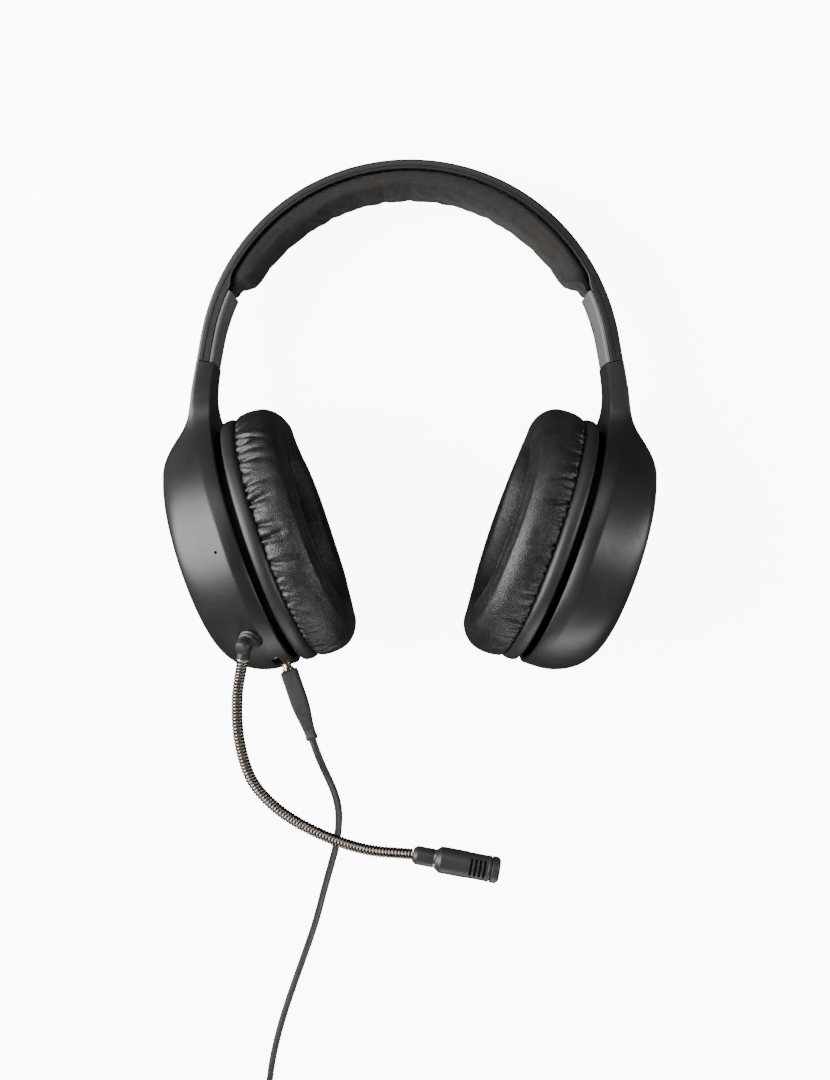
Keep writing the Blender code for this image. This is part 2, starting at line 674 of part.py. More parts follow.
def cushion_profile():
    base, crest = CUSHION_BASE, CUSHION_CREST
    return ((base, 31.5, 22.5, 0.0), (base + 9.0, 30.0, 21.0, 0.0), (crest - 2.6, 32.6, 23.4, 0.0),
            (crest - 0.4, 36.6, 27.4, 0.0), (crest, 40.4, 31.4, 0.0), (crest - 1.4, 46.0, 37.0, 0.0),
            (crest - 5.0, 49.6, 40.6, 0.0), (base + 7.0, 50.4, 41.4, 0.0), (base + 2.0, 49.2, 40.2, 0.0),
            (base, 46.8, 37.8, 0.0))


def make_inner_cup(side_name, mirrored, empty, looks):
    finish_mesh(f"inner_shell_{side_name}", skin(oval_rings(inner_shell_profile(), 36)),
                looks["inner"], empty, mirrored)
    centre = cup_matrix() @ Vector((BALL_S, 0.0, 0.0))
    collar = turned(pivot_collar_profile(), centre, cup_direction(1, 0, 0), 16)
    finish_mesh(f"pivot_collar_{side_name}", skin(collar), looks["inner"], empty, mirrored)
    make_driver(side_name, mirrored, empty, looks)
    finish_mesh(f"ear_cushion_{side_name}", skin(oval_rings(cushion_profile(), 36), closed=True),
                looks["cushion"], empty, mirrored, 60.0)


# ---------------------------------------------------------------- electronics in the housings

def make_electronics(arms, looks):
    cup = cup_matrix()
    turn = cup.to_3x3().to_4x4()
    board = block(cup @ Vector((-21.0, 20.0, 0.0)), (1.6, 20.0, 30.0), turn)
    finish_mesh("circuit_board", skin(board), looks["board"], arms["left"])
    battery = block(cup @ Vector((-18.5, -21.0, 0.0)), (5.0, 20.0, 32.0), turn)
    finish_mesh("battery_cell", skin(battery), looks["battery"], arms["right"], mirrored=True)


def make_sockets(housing, arm, looks):
    """The microphone socket, cable socket, charging port and built-in microphone of the left housing."""
    cup = cup_matrix()
    axis = Vector(MIC_AXIS).normalized()
    port = cup @ Vector(MIC_PORT)
    cut(housing, skin(rod(4.6, port - axis * 8.0, axis, 14.0, 20)), "mic_socket_hole")
    socket = ((0.0, -7.6), (4.3, -7.6), (4.3, 0.4), (3.6, 0.8), (2.5, 0.2), (2.5, -6.0), (0.0, -6.0))
    finish_mesh("mic_socket", skin(turned(socket, port, axis, 20)), looks["inner"], arm)

    down = cup_direction(0, -1, 0)
    outlet = cup @ Vector(CABLE_PORT)
    cut(housing, skin(rod(2.7, outlet - down * 10.0, down, 14.0, 16)), "cable_socket_hole")
    jack = ((0.0, -8.6), (2.4, -8.6), (2.4, -0.6), (1.95, -0.6), (1.95, -7.6), (0.0, -7.6))
    finish_mesh("cable_socket", skin(turned(jack, outlet, down, 16)), looks["steel"], arm)

    turn = cup.to_3x3().to_4x4()
    charge = cup @ Vector(CHARGE_PORT)
    cut(housing, skin(block(charge, (3.2, 12.0, 7.6), turn)), "charge_hole")
    inwards = cup_direction(0, 1, 0)
    port = skin(block(charge + inwards * CHARGE_INSET, (2.6, 6.0, 7.0), turn))
    port_shell = finish_mesh("charge_port", port, looks["steel"], arm)
    mouth = block(charge + inwards * (CHARGE_INSET - 3.0), (1.6, 9.0, 6.0), turn)
    cut(port_shell, skin(mouth), "charge_mouth")

    pin = cup @ Vector(PIN_HOLE)
    out = cup_direction(-0.2, 0.0, 0.98)
    cut(housing, skin(rod(0.6, pin - out * 8.0, out, 14.0, 10)), "pin_hole")
    finish_mesh("talkback_mic", skin(rod(1.5, pin - out * 6.9, out, 2.6, 12)), looks["steel"], arm)


# ---------------------------------------------------------------- microphone boom

def boom_halves():
    """The boom's curve, parted at its bend with room between square ends."""
    points = smooth_curve(BOOM_ROUTE, BOOM_STEPS)
    middle = BOOM_BEND * BOOM_STEPS
    bend = points[middle]
    along = (points[middle + 1] - points[middle - 1]).normalized()
    lower = points[:middle] + [bend - along * BOOM_GAP / 2.0]
    upper = [bend + along * BOOM_GAP / 2.0] + points[middle + 1:]
    return lower, upper


def make_boom(plug_empty, tip_empty, looks):
    axis = Vector(MIC_AXIS).normalized()
    port = cup_matrix() @ Vector(MIC_PORT)
    pin = ((0.0, -5.4), (1.2, -5.0), (1.75, -4.2), (1.75, 0.9), (0.0, 0.9))
    finish_mesh("mic_plug_pin", skin(turned(pin, port, axis, 12)), looks["gold"], plug_empty)
    elbow = ((0.0, 1.2), (3.4, 1.2), (4.0, 1.8), (4.0, 7.4), (3.2, 8.2), (0.0, 8.2))
    finish_mesh("mic_plug_elbow", skin(turned(elbow, port, axis, 20)), looks["shell"], plug_empty)
    lower, upper = boom_halves()
    tube("gooseneck_lower", lower, BOOM_D, looks["gooseneck"], plug_empty, 3)
    tube("gooseneck_upper", upper, BOOM_D, looks["gooseneck"], tip_empty, 3)
    make_capsule(upper[-1], tip_empty, looks)


def make_capsule(boom_end, empty, looks):
    """The microphone on the end of the boom: collar, slotted body with its element, end cap."""
    sag = math.radians(CAPSULE_SAG_DEG)
    along = Vector((math.cos(sag), -math.sin(sag), 0.0))
    start = boom_end + along * (2.0 * GAP)
    collar = ((0.0, 0.0), (2.9, 0.0), (3.6, 0.7), (3.6, 7.8), (0.0, 7.8))
    finish_mesh("mic_collar", skin(turned(collar, start, along, 20)), looks["capsule"], empty)
    body = start + along * (7.8 + GAP)
    capsule = ((0.0, 0.0), (3.6, 0.0), (5.1, 2.0), (5.1, 21.6), (3.9, 21.6), (3.9, 8.0), (0.0, 8.0))
    finish_mesh("mic_capsule", skin(turned(capsule, body, along, 24)), looks["capsule"], empty)
    element = ((0.0, 8.4), (3.5, 8.4), (3.5, 14.0), (0.0, 14.0))
    finish_mesh("mic_element", skin(turned(element, body, along, 16)), looks["steel"], empty)
    end_cap = ((0.0, 19.0), (3.5, 19.0), (3.5, 21.9), (5.1, 21.9), (5.1, 24.6), (4.6, 25.2), (0.0, 25.2))
    finish_mesh("mic_end_cap", skin(turned(end_cap, body, along, 24)), looks["cap"], empty)


# ---------------------------------------------------------------- cable

def chamfered(half_x, half_y, chamfer):
    """The corners of a rectangle with cut corners."""
    x, y = half_x - chamfer, half_y - chamfer
    return ((half_x, -y), (half_x, y), (x, half_y), (-x, half_y),
            (-half_x, y), (-half_x, -y), (-x, -half_y), (x, -half_y))


def overmould(rows, base, along, across):
    """A moulded plug from (height, half x, half y, chamfer) rows."""
    up = along.cross(across)
    rings = []
    for height, *size in rows:
        rings.append([base + along * height + across * x + up * y for x, y in chamfered(*size)])
    return skin(rings)


def make_cable_plug(arm, looks):
    cup = cup_matrix()
    down = cup_direction(0, -1, 0)
    outlet = cup @ Vector(CABLE_PORT)
    pin = ((0.0, -6.8), (1.0, -6.4), (1.75, -5.4), (1.75, PLUG_START - GAP), (0.0, PLUG_START - GAP))
    finish_mesh("cable_plug_pin", skin(turned(pin, outlet, down, 12)), looks["gold"], arm)
    rows = ((0.0, 2.6, 2.2, 0.6), (0.6, 3.3, 2.8, 0.9), (13.0, 3.3, 2.8, 0.9), (PLUG_LENGTH, 1.9, 1.9, 0.7))
    finish_mesh("cable_plug_body", overmould(rows, outlet + down * PLUG_START, down, cup_direction(1, 0, 0)),
                looks["cable"], arm)


def make_cable(root, arm, looks):
    """The lead, its coil and its far plug, from points on the surface that the headset lies on."""
    to_design = design_from_surface(root)
    down = cup_direction(0, -1, 0)
    start = cup_matrix() @ Vector(CABLE_PORT) + down * (PLUG_START + PLUG_LENGTH + GAP)
    route = [start] + [to_design @ Vector(point) for point in CABLE_ROUTE]
    tube("cable_lead", smooth_curve(route, 2), CABLE_D, looks["cable"], arm)
    tube("cable_tail", [to_design @ Vector(point) for point in TAIL_ROUTE], CABLE_D, looks["cable"], arm)
    x, y = COIL_CENTRE
    (inner, outer), (low, high) = COIL_RADII, COIL_HEIGHTS
    ring = ((inner, low), (outer, low), (outer, high), (inner, high))
    coil = skin(turned(ring, (x, y, 0.0), (0, 0, 1), 32), closed=True)
    bmesh.ops.transform(coil, matrix=to_design, verts=coil.verts)
    finish_mesh("cable_coil", coil, looks["cable"], arm)
    finish_mesh("coil_tie", tie_solid(to_design), looks["tie"], arm)
    along, across = Vector((1.0, 0.0, 0.0)), Vector((0.0, 1.0, 0.0))
    rows = ((0.0, 1.9, 1.9, 0.7), (8.0, 3.1, 3.1, 1.2), (20.0, 3.1, 3.1, 1.2))
    body = overmould(rows, Vector(END_PLUG_AT), along, across)
    pin_profile = ((0.0, 20.0 + GAP), (1.75, 20.0 + GAP), (1.75, 31.0), (1.2, 32.2), (1.6, 33.2),
                   (0.0, 34.3))
    pin = skin(turned(pin_profile, END_PLUG_AT, along, 12))
    for name, bm, look in (("end_plug_body", body, "cable"), ("end_plug_pin", pin, "gold")):
        bmesh.ops.transform(bm, matrix=to_design, verts=bm.verts)
        finish_mesh(name, bm, looks[look], arm)


def tie_solid(to_design):
    """A strap once round the coil's bundle, on its side towards +X."""
    x, y = COIL_CENTRE
    inside = (x + COIL_RADII[0] - GAP * 2.0, x + COIL_RADII[1] + GAP, TIE_THICK, COIL_HEIGHTS[1] + GAP)
    outside = (inside[0] - TIE_THICK, inside[1] + TIE_THICK, 0.0, inside[3] + TIE_THICK)
    rings = []
    for (x0, x1, z0, z1), half in ((outside, -1), (outside, 1), (inside, 1), (inside, -1)):
        depth = y + half * TIE_WIDTH / 2.0
        rings.append([to_design @ Vector(corner) for corner in
                      ((x0, depth, z0), (x1, depth, z0), (x1, depth, z1), (x0, depth, z1))])
    return skin(rings, closed=True)


def design_from_surface(root):
    """From millimetres on the surface to the design frame."""
    place = root.matrix_basis.copy()
    place.translation /= MM
    return place.inverted()


def lie_down(root):
    """Tilts the finished headset and sets it on the surface, its middle over the origin."""
    root.rotation_euler.x = -math.radians(LIE_DEG)
    bpy.context.view_layer.update()
    graph = bpy.context.evaluated_depsgraph_get()
    corners = []
    for obj in bpy.data.objects:
        if obj.type in {"MESH", "CURVE"} and not obj.hide_render:
            mesh = obj.evaluated_get(graph).to_mesh()
            corners += [obj.matrix_world @ vertex.co for vertex in mesh.vertices]
    lows, highs = [[pick(corner[k] for corner in corners) for k in range(3)] for pick in (min, max)]
    root.location = (-(lows[0] + highs[0]) / 2.0, -(lows[1] + highs[1]) / 2.0, -lows[2])


# ---------------------------------------------------------------- assembly

def make_looks():
    table = {"shell": ((0.016, 0.016, 0.016), 0.42, 0.0), "cap": ((0.03, 0.03, 0.03), 0.4, 0.0),
             "cover": ((0.07, 0.07, 0.07), 0.5, 0.0), "inner": ((0.02, 0.02, 0.02), 0.5, 0.0),
             "steel": ((0.5, 0.5, 0.5), 0.3, 1.0), "gold": ((0.8, 0.6, 0.3), 0.25, 1.0),
             "magnet": ((0.2, 0.2, 0.2), 0.4, 1.0), "cone": ((0.5, 0.5, 0.46), 0.5, 0.0),
             "scrim": ((0.02, 0.02, 0.02), 0.9, 0.0), "cushion": ((0.012, 0.011, 0.01), 0.5, 0.0),
             "pad": ((0.03, 0.025, 0.022), 0.8, 0.0), "board": ((0.02, 0.12, 0.06), 0.5, 0.0),
             "gooseneck": ((0.12, 0.1, 0.09), 0.3, 1.0), "capsule": ((0.03, 0.027, 0.025), 0.5, 0.0),
             "cable": ((0.03, 0.03, 0.03), 0.55, 0.0), "tie": ((0.02, 0.02, 0.02), 0.9, 0.0),
             "battery": ((0.05, 0.12, 0.3), 0.4, 0.0)}
    return {name: material(name, *values) for name, values in table.items()}


def main():
    clear_scene()
    looks = make_looks()
    root = add_empty("lie")
    make_headband(root, looks)
    arms = {}
    for side_name, mirrored in SIDES:
        sign = -1.0 if mirrored else 1.0
        seam, _ = strip_frame()
        arm = add_empty(f"arm_{side_name}", root, (sign * seam.x, seam.y, 0.0))
        arms[side_name] = arm
        ball = cup_matrix() @ Vector((BALL_S, 0.0, 0.0))
        pivot = add_empty(f"pivot_{side_name}", arm, (sign * ball.x, ball.y, ball.z))
        cup = add_empty(f"cup_{side_name}", pivot, (sign * ball.x, ball.y, ball.z))
        housing = make_arm(side_name, mirrored, arm, looks)
        make_pivot(side_name, mirrored, pivot, looks)
        make_inner_cup(side_name, mirrored, cup, looks)
        if not mirrored:
            make_sockets(housing, arm, looks)
    make_electronics(arms, looks)
    mic_plug = add_empty("mic_plug", arms["left"], cup_matrix() @ Vector(MIC_PORT))
    mic_tip = add_empty("mic_tip", mic_plug, BOOM_ROUTE[BOOM_BEND])
    make_boom(mic_plug, mic_tip, looks)
    lie_down(root)
    make_cable_plug(arms["left"], looks)
    make_cable(root, arms["left"], looks)


main()
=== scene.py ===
"""Looks of an over-ear headset with a gooseneck microphone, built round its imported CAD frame.

Shapes are worked out in millimetres in the design frame: X across the head, Y towards the
crown, Z out of the headset's own plane, origin at the centre of the headband's arc. In the
cup frame s runs inwards along the left cup's axis, t up the cup and w as the design Z.
cup_point() takes the cup frame to the design frame, and to_world() that to the frame's metres.
The right side is the left one mirrored in X. Shapes follow the CAD to within 1 or 2 mm.
"""
import json
import math
import random

import bmesh
import bpy
import numpy as np
from mathutils import Matrix, Vector


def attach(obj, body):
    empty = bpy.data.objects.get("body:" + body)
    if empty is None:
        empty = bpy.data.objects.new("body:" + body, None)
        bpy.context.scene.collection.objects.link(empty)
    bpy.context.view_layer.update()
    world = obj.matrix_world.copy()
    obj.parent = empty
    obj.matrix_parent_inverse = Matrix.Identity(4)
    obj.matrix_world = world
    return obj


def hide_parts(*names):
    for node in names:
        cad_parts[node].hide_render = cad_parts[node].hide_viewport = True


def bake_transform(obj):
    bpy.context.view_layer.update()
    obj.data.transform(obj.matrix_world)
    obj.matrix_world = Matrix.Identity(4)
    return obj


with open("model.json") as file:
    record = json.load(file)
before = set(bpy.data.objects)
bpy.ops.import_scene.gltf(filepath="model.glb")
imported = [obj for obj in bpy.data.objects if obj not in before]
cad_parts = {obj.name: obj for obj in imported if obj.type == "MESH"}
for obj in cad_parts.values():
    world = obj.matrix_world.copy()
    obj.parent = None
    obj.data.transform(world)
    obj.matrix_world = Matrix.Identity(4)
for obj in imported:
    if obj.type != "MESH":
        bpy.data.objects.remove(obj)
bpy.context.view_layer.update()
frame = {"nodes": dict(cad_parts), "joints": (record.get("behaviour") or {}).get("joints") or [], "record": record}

MM = 0.001
SIDES = (("left", False), ("right", True))

# Headband
BAND_RADIUS = 83.2
BAND_ARC_DEG = 80.0
BAND_STRAIGHT = 9.0
BAND_REACH = BAND_RADIUS * math.radians(BAND_ARC_DEG) + BAND_STRAIGHT
BAND_HALF_TOP = 15.0
BAND_HALF_END = 12.0
WALL = 1.8
BAND_DEPTH = 5.0
BAND_DEPTH_TOP = 3.6
EDGE_ROUND = 1.2
GROOVE_DEPTHS = (2.45, 2.95)      # the line between the shell and its liner
PAD_REACH = 93.0
PAD_TOP = 3.9
PAD_LOW = 11.4
PAD_ROWS = 56
PAD_STEPS = 150
BAND_STEPS = 180
FOLD_EVERY = 12.5                 # soft creases across the pad, in mm along it
FOLD_DEPTH, SAG_DEPTH = 0.12, 0.3    # the crease itself, and the foam's give round it
PAD_NOSE = (0.985, 0.94, 0.86, 0.72)    # sizes of the rings that round its ends off
PAD_NOSE_LENGTH = 3.6             # how far a ring of no size would lie past the pad's end

# Cup and housing
CUP_CENTRE = (-59.25, -66.2)
CUP_LEAN_DEG = 19.0
TOE_DEG = 5.0
RIM_A, RIM_B = 49.5, 41.0
RIM_S = -1.2
RIDGE_S = -6.5
BOWL_LEAN, RIM_TAPER = 0.09, 0.035    # each side of the ridge, how far the surface leans in
DISC_A, DISC_B = 34.5, 31.0
DISC_T = 1.5
DISC_S = -26.9
DISC_SLOPE = 0.02
FLARE_DEG = 50.0
FLARE_TOP = 60.0
ARM_FACE = ((36.0, -26.2), (41.0, -22.0), (46.3, -16.9), (51.3, -12.4), (58.0, -8.5),
            (65.3, -5.3), (75.8, 0.44), (84.5, 5.3))
ARM_BACK = ((49.5, -1.2), (55.0, -0.6), (62.0, 1.4), (72.5, 6.3), (81.2, 11.1))
ARM_TOP = 80.0
ARM_SHIFT = 3.2
RIDGE_LINE = ((40.0, RIDGE_S), (50.0, -6.9), (58.0, -6.2), (65.3, -3.9), (75.8, 1.7), (84.5, 6.6))
LIP = 0.965
RECESS_DEPTH = 1.8
MOUTH_A, MOUTH_B = 47.2, 38.7
CAVITY = ((-14.0, 46.0, 38.0, 0.0, 0.0), (-21.0, 39.5, 34.8, -1.7, 0.0),
          (-23.7, 33.5, 29.5, 0.0, DISC_SLOPE))     # (s, half height, half depth, t centre, slope)
BALL_S = -11.0
SEAM_GAP = 0.3
STRIP_POCKET = (1.4, 26.0, 8.6)
STRIP_DEPTH = 4.5
OUTLINE_FOOT, OUTLINE_FLARE, OUTLINE_ARM = 64, 22, 22    # steps round each part of the outline
BOWL_STEPS = (1.0, 0.985, 0.95, 0.9, 0.85, 0.78, 0.7, 0.62, 0.54, 0.46, 0.38, 0.3, 0.22, 0.15,
              0.1, 0.06, 0.035, 0.015)
BAND_RINGS = (0.06, 0.5, 0.9)
BACK_STEPS = (0.2, 0.35, 0.5, 0.7, 0.85)
CAP_THICK = 1.5
# The outer cap's face from its edge inwards: (share of the disc, how far behind its face)
CAP_FACE = ((0.62, 0.0), (0.605, 0.12), (0.59, 0.0), (0.3, 0.0))
CAP_EDGE = ((0.0, 0.45), (0.003, 0.22), (0.012, 0.08), (0.03, 0.0))    # (share lost, as above)
# The floating ring: (s, half height, half depth)
CUP_RING = ((-6.1, 0.0, 0.0), (-6.1, 29.0, 24.0), (-4.5, 36.5, 33.0), (-1.0, 38.0, 34.2),
            (1.8, 38.4, 34.5), (1.8, 48.3, 39.8), (1.95, 49.0, 40.5), (2.4, 49.6, 41.1),
            (3.2, 49.9, 41.4), (4.4, 50.0, 41.5), (5.6, 49.9, 41.4), (6.5, 49.5, 41.0),
            (7.1, 48.9, 40.4), (7.5, 48.1, 39.6), (7.6, 47.3, 38.8), (7.6, 42.0, 33.5),
            (3.7, 41.0, 32.6), (3.6, 36.6, 32.4), (-1.0, 36.2, 32.2), (-3.3, 34.6, 30.6),
            (-4.5, 28.0, 23.0), (-4.5, 0.0, 0.0))

# Ear cushion
CUSHION_BASE = 7.6
CUSHION_A, CUSHION_B = 40.4, 31.4     # its crest line
GATHERS = 62
CUSHION_AROUND = 120
CUSHION_ROWS = 36
FINE = 5                          # finer grid after the cloth, each way
# Round the ring's section, from the outer seam: (height above the base, out from the crest line)
CUSHION_SHAPE = ((0.0, 7.4), (1.1, 9.1), (4.0, 9.9), (7.5, 10.0), (11.5, 9.2), (15.0, 6.8),
                 (17.3, 3.2), (18.1, -0.8), (17.6, -4.6), (16.1, -7.3), (12.5, -9.2), (8.0, -9.9),
                 (3.5, -9.8), (0.3, -8.8), (0.0, -4.0), (0.0, 2.0))
SEAM_LENGTH = 21.0                # how far up the side a gather can reach
SEAM_FADE = 4.0
GATHER_SEED, PUCKER_SEED, DENT_SEED = 11, 31, 51
RIGHT_GATHERS = 0.6               # the right cushion's cover is pulled tighter
CLOTH_FRAMES = 20
CLOTH_SCALE = 10.0                # the cloth solver is steadier on a larger copy

# Left housing's fittings
MIC_PORT = (-11.3, -34.4, 29.3)
MIC_AXIS = (-0.35, -0.4, 0.85)
CABLE_PORT = (-4.9, -49.0, 7.0)
CHARGE_PORT = (-6.6, -46.6, 14.5)
PIN_HOLE = (-10.2, 1.0, 40.6)
PIN_AXIS = (-0.2, 0.0, 0.98)
MIC_BORE, CABLE_BORE, PIN_BORE = 4.6, 2.7, 0.6    # radii
BORE_LENGTH = 14.0
CHARGE_SLOT = (3.2, 12.0, 7.6)

# Microphone boom
BOOM_R = 2.2
BOOM_ROUTE = ((-63.0, -109.2, 30.2), (-64.2, -115.5, 28.6), (-65.4, -123.5, 28.2),
              (-65.3, -137.0, 27.6), (-63.3, -148.0, 27.0), (-59.7, -157.2, 26.4),
              (-53.5, -164.8, 25.6), (-45.5, -171.2, 25.0), (-31.5, -178.6, 24.0),
              (-16.5, -183.6, 23.0), (1.0, -185.6, 22.0))
WIRE_PITCH = 1.25
RINGS_PER_TURN = 8
WIRE_SIDES = 20
CAPSULE_SAG_DEG = 10.7

# The boom's turned pieces: (radius, height along the axis)
ELBOW = ((0.0, 1.0), (3.9, 1.0), (3.9, 1.8), (3.0, 2.2), (3.0, 5.6), (2.3, 7.0), (0.0, 7.3))
ELBOW_NECK = ((0.0, -4.6), (2.3, -4.2), (2.6, -2.0), (2.6, 0.4), (2.3, 0.9), (0.0, 0.9))
FERRULE = ((0.0, 0.6), (2.3, 0.6), (2.45, 0.8), (2.45, 1.3), (2.3, 1.5), (0.0, 1.5))
COLLAR_AT = 0.6                   # past the boom's end
COLLAR = ((0.0, -0.4), (2.5, -0.4), (2.9, 0.1), (3.6, 1.1), (3.6, 7.4), (3.4, 7.8), (0.0, 7.8))
CAPSULE_RING = ((0.0, 7.5), (3.35, 7.5), (3.45, 7.7), (3.45, 8.4), (3.35, 8.6), (0.0, 8.6))
CAPSULE_AT = 8.1                  # past the collar's start
CAPSULE = ((0.0, 0.2), (3.4, 0.2), (3.7, 0.4), (5.1, 2.2), (5.1, 12.6), (4.95, 12.8), (4.95, 20.6),
           (5.1, 20.8), (5.1, 21.4), (4.9, 21.6), (3.9, 21.6), (3.9, 8.0), (0.0, 8.0))
CAPSULE_FOAM = ((0.0, 12.6), (3.6, 12.6), (3.8, 13.0), (3.8, 20.6), (0.0, 20.6))
CAPSULE_CAP = ((0.0, 20.7), (4.3, 20.7), (4.3, 21.9), (5.0, 22.0), (5.1, 22.3), (5.1, 24.2),
               (4.2, 25.2), (0.0, 25.3))
SLOTS = 4
SLOT_FIRST, SLOT_PITCH = 14.0, 1.75
SLOT_SIZE = (0.95, 6.6, 14.0)

# Cable: its plugs are in millimetres, its route and coil in the frame's metres
PLUG_START = 2.0
PLUG_LENGTH = 29.0
CABLE_D = 0.003
CABLE_ROUTE = ((-0.0367, -0.0922, 0.0630), (-0.0343, -0.0986, 0.0626), (-0.0320, -0.1050, 0.0602),
               (-0.0302, -0.1118, 0.0562), (-0.0292, -0.1186, 0.0516), (-0.0291, -0.1258, 0.0465),
               (-0.0298, -0.1339, 0.0407), (-0.0315, -0.1449, 0.0328), (-0.0337, -0.1545, 0.0264),
               (-0.0371, -0.1687, 0.0178), (-0.0412, -0.1860, 0.0096), (-0.0452, -0.1999, 0.0046),
               (-0.0495, -0.2130, 0.0021), (-0.0537, -0.2254, 0.0016), (-0.0582, -0.2398, 0.0015),
               (-0.0618, -0.2542, 0.0015), (-0.0642, -0.2688, 0.0016), (-0.0650, -0.2815, 0.0020))
COIL_CENTRE = (-0.0435, -0.2940)
COIL_ROWS = 4
COIL_OUTER = 0.0215
COIL_LAYERS = (0.0024, 0.0055)
COIL_STEPS = 30                   # points for each turn
COIL_SHIFT = 0.2                  # the share of a turn in which it moves to the next row
TAIL_ROUTE = ((-0.0385, -0.3160, 0.0046), (-0.0323, -0.3161, 0.0038), (-0.0290, -0.3162, 0.0034),
              (-0.0260, -0.3162, 0.0032))
END_PLUG_AT = (-25.7, -316.2, 3.2)

# The cable's moulded pieces: (height, half width, half thickness, corner) rows
PLUG_GRIP = ((0.0, 2.3, 1.9, 0.7), (0.15, 2.9, 2.4, 0.8), (0.6, 3.25, 2.75, 0.9),
             (13.0, 3.3, 2.8, 0.9))
PLUG_TAPER_END = (27.0, 2.0, 1.95, 0.8)
PLUG_RELIEF = ((27.4, 2.2, 2.1, 0.9), (28.6, 2.2, 2.1, 0.9), (29.0, 1.9, 1.9, 0.8),
               (29.0, 1.4, 1.4, 0.7))
PLUG_SPINE = ((1.0, 0.4, 0.1, 0.09), (1.6, 0.75, 0.3, 0.25), (12.6, 0.75, 0.32, 0.25),
              (20.0, 0.45, 0.1, 0.09))
SPINE_RISE, SPINE_LEAN = 2.75, 0.02
END_RELIEF_TIP = (-0.6, 1.7, 1.7, 1.6)
END_GRIP = ((8.0, 2.9, 2.9, 1.6), (8.8, 3.1, 3.1, 1.5), (19.2, 3.1, 3.1, 1.5),
            (19.9, 2.7, 2.7, 1.4), (20.0, 2.0, 2.0, 1.2))
RIB = ((0.0, 2.0, 1.8), (0.9, 2.05, 1.8), (1.0, 1.75, 1.6), (1.4, 1.75, 1.6))    # (height, half, corner)
RIBS, RIB_PITCH, RIB_GROWTH = 5, 1.5, 0.14
# Its turned pieces: (radius, height)
PLUG_PIN = ((0.0, -6.8), (1.0, -6.4), (1.75, -5.4), (1.75, 1.0), (2.3, 1.0), (2.3, 2.0), (0.0, 2.0))
END_PIN = ((0.0, 19.0), (2.6, 19.0), (2.6, 20.9), (1.75, 21.1), (1.75, 31.0), (1.2, 32.2),
           (1.6, 33.2), (0.9, 34.2), (0.0, 34.3))
END_RINGS = (24.2, 27.2, 30.2)
END_RING = ((1.6, 0.0), (1.79, 0.05), (1.79, 0.55), (1.6, 0.6))

# Strap round the coil
STRAP_HALF, STRAP_THICK = 3.4, 0.5
STRAP_HEIGHTS = (0.25, 7.35)
STRAP_SLACK = (0.9, 1.75)         # inside and outside the bundle of turns
STRAP_CORNER = 0.2                # the share of each side that its corners round off
STRAP_CORNER_STEPS = 6
LAP_SIZE = (9.0, 6.6, 0.5)
LAP_HEIGHT = 7.75

# Camera and light
CAMERA_AT = (2.0, -65.0, 600.0)   # in the design frame
LENS = 50.2
FLOOR_GLOW = 9.0                  # lights the table evenly, as a lit backdrop does
ROOM_GLOW = 0.06
FLOOR_HALF = 6.0                  # in metres
LIT_POINT = (0.0, 0.0, 0.03)
SOFTBOXES = {                     # name: place, size and power
    "Left softbox": ((-0.85, 0.1, 0.55), (0.75, 1.0), 34.0),
    "Top softbox": ((-0.1, 0.8, 0.75), (0.9, 0.4), 3.5),
    "Right softbox": ((0.9, 0.0, 0.4), (0.15, 0.9), 6.0),
    "Front softbox": ((0.15, -0.95, 0.25), (0.9, 0.3), 6.0),
}

# Moulded plastics: name, dark and light colour, roughness range, size and depth of the grain in mm
PLASTICS = {
    "shell": ("Satin black plastic", (0.0105, 0.0105, 0.0105), (0.0155, 0.0155, 0.015),
              (0.34, 0.44), (0.35, 0.012)),
    "cap": ("Cap plastic", (0.018, 0.018, 0.018), (0.026, 0.026, 0.025), (0.36, 0.5), (0.35, 0.012)),
    "cover": ("Grey cover plastic", (0.1, 0.1, 0.1), (0.135, 0.135, 0.132), (0.4, 0.52),
              (0.35, 0.012)),
    "inner": ("Inner black plastic", (0.013, 0.013, 0.013), (0.02, 0.02, 0.019), (0.4, 0.52),
              (0.28, 0.012)),
    "capsule": ("Capsule plastic", (0.018, 0.0165, 0.0155), (0.03, 0.028, 0.026), (0.42, 0.56),
                (0.3, 0.02)),
    "cone": ("Cone film", (0.4, 0.4, 0.37), (0.55, 0.55, 0.5), (0.35, 0.5), (0.35, 0.012)),
    "battery": ("Battery wrap", (0.03, 0.09, 0.24), (0.05, 0.13, 0.32), (0.3, 0.45), (0.35, 0.012)),
}
# Bare metals: name, dark and light colour, roughness range, stretch of the brushing
METALS = {
    "steel": ("Bare steel", (0.36, 0.36, 0.37), (0.56, 0.56, 0.56), (0.22, 0.4), (1.0, 0.08, 1.0)),
    "magnet": ("Nickel", (0.25, 0.25, 0.25), (0.36, 0.36, 0.35), (0.25, 0.4), (1.0, 1.0, 1.0)),
    "gold": ("Gold plate", (0.55, 0.42, 0.22), (0.72, 0.57, 0.32), (0.16, 0.28), (1.0, 1.0, 1.0)),
}


# ---------------------------------------------------------------- frames

JOINTS = {joint["name"]: joint for joint in frame["joints"]}


def cup_matrix(toe_deg=TOE_DEG):
    lean = Matrix.Rotation(math.radians(CUP_LEAN_DEG), 4, "Z")
    toe = Matrix.Rotation(math.radians(-toe_deg), 4, "Y")
    return Matrix.Translation((*CUP_CENTRE, 0.0)) @ lean @ toe


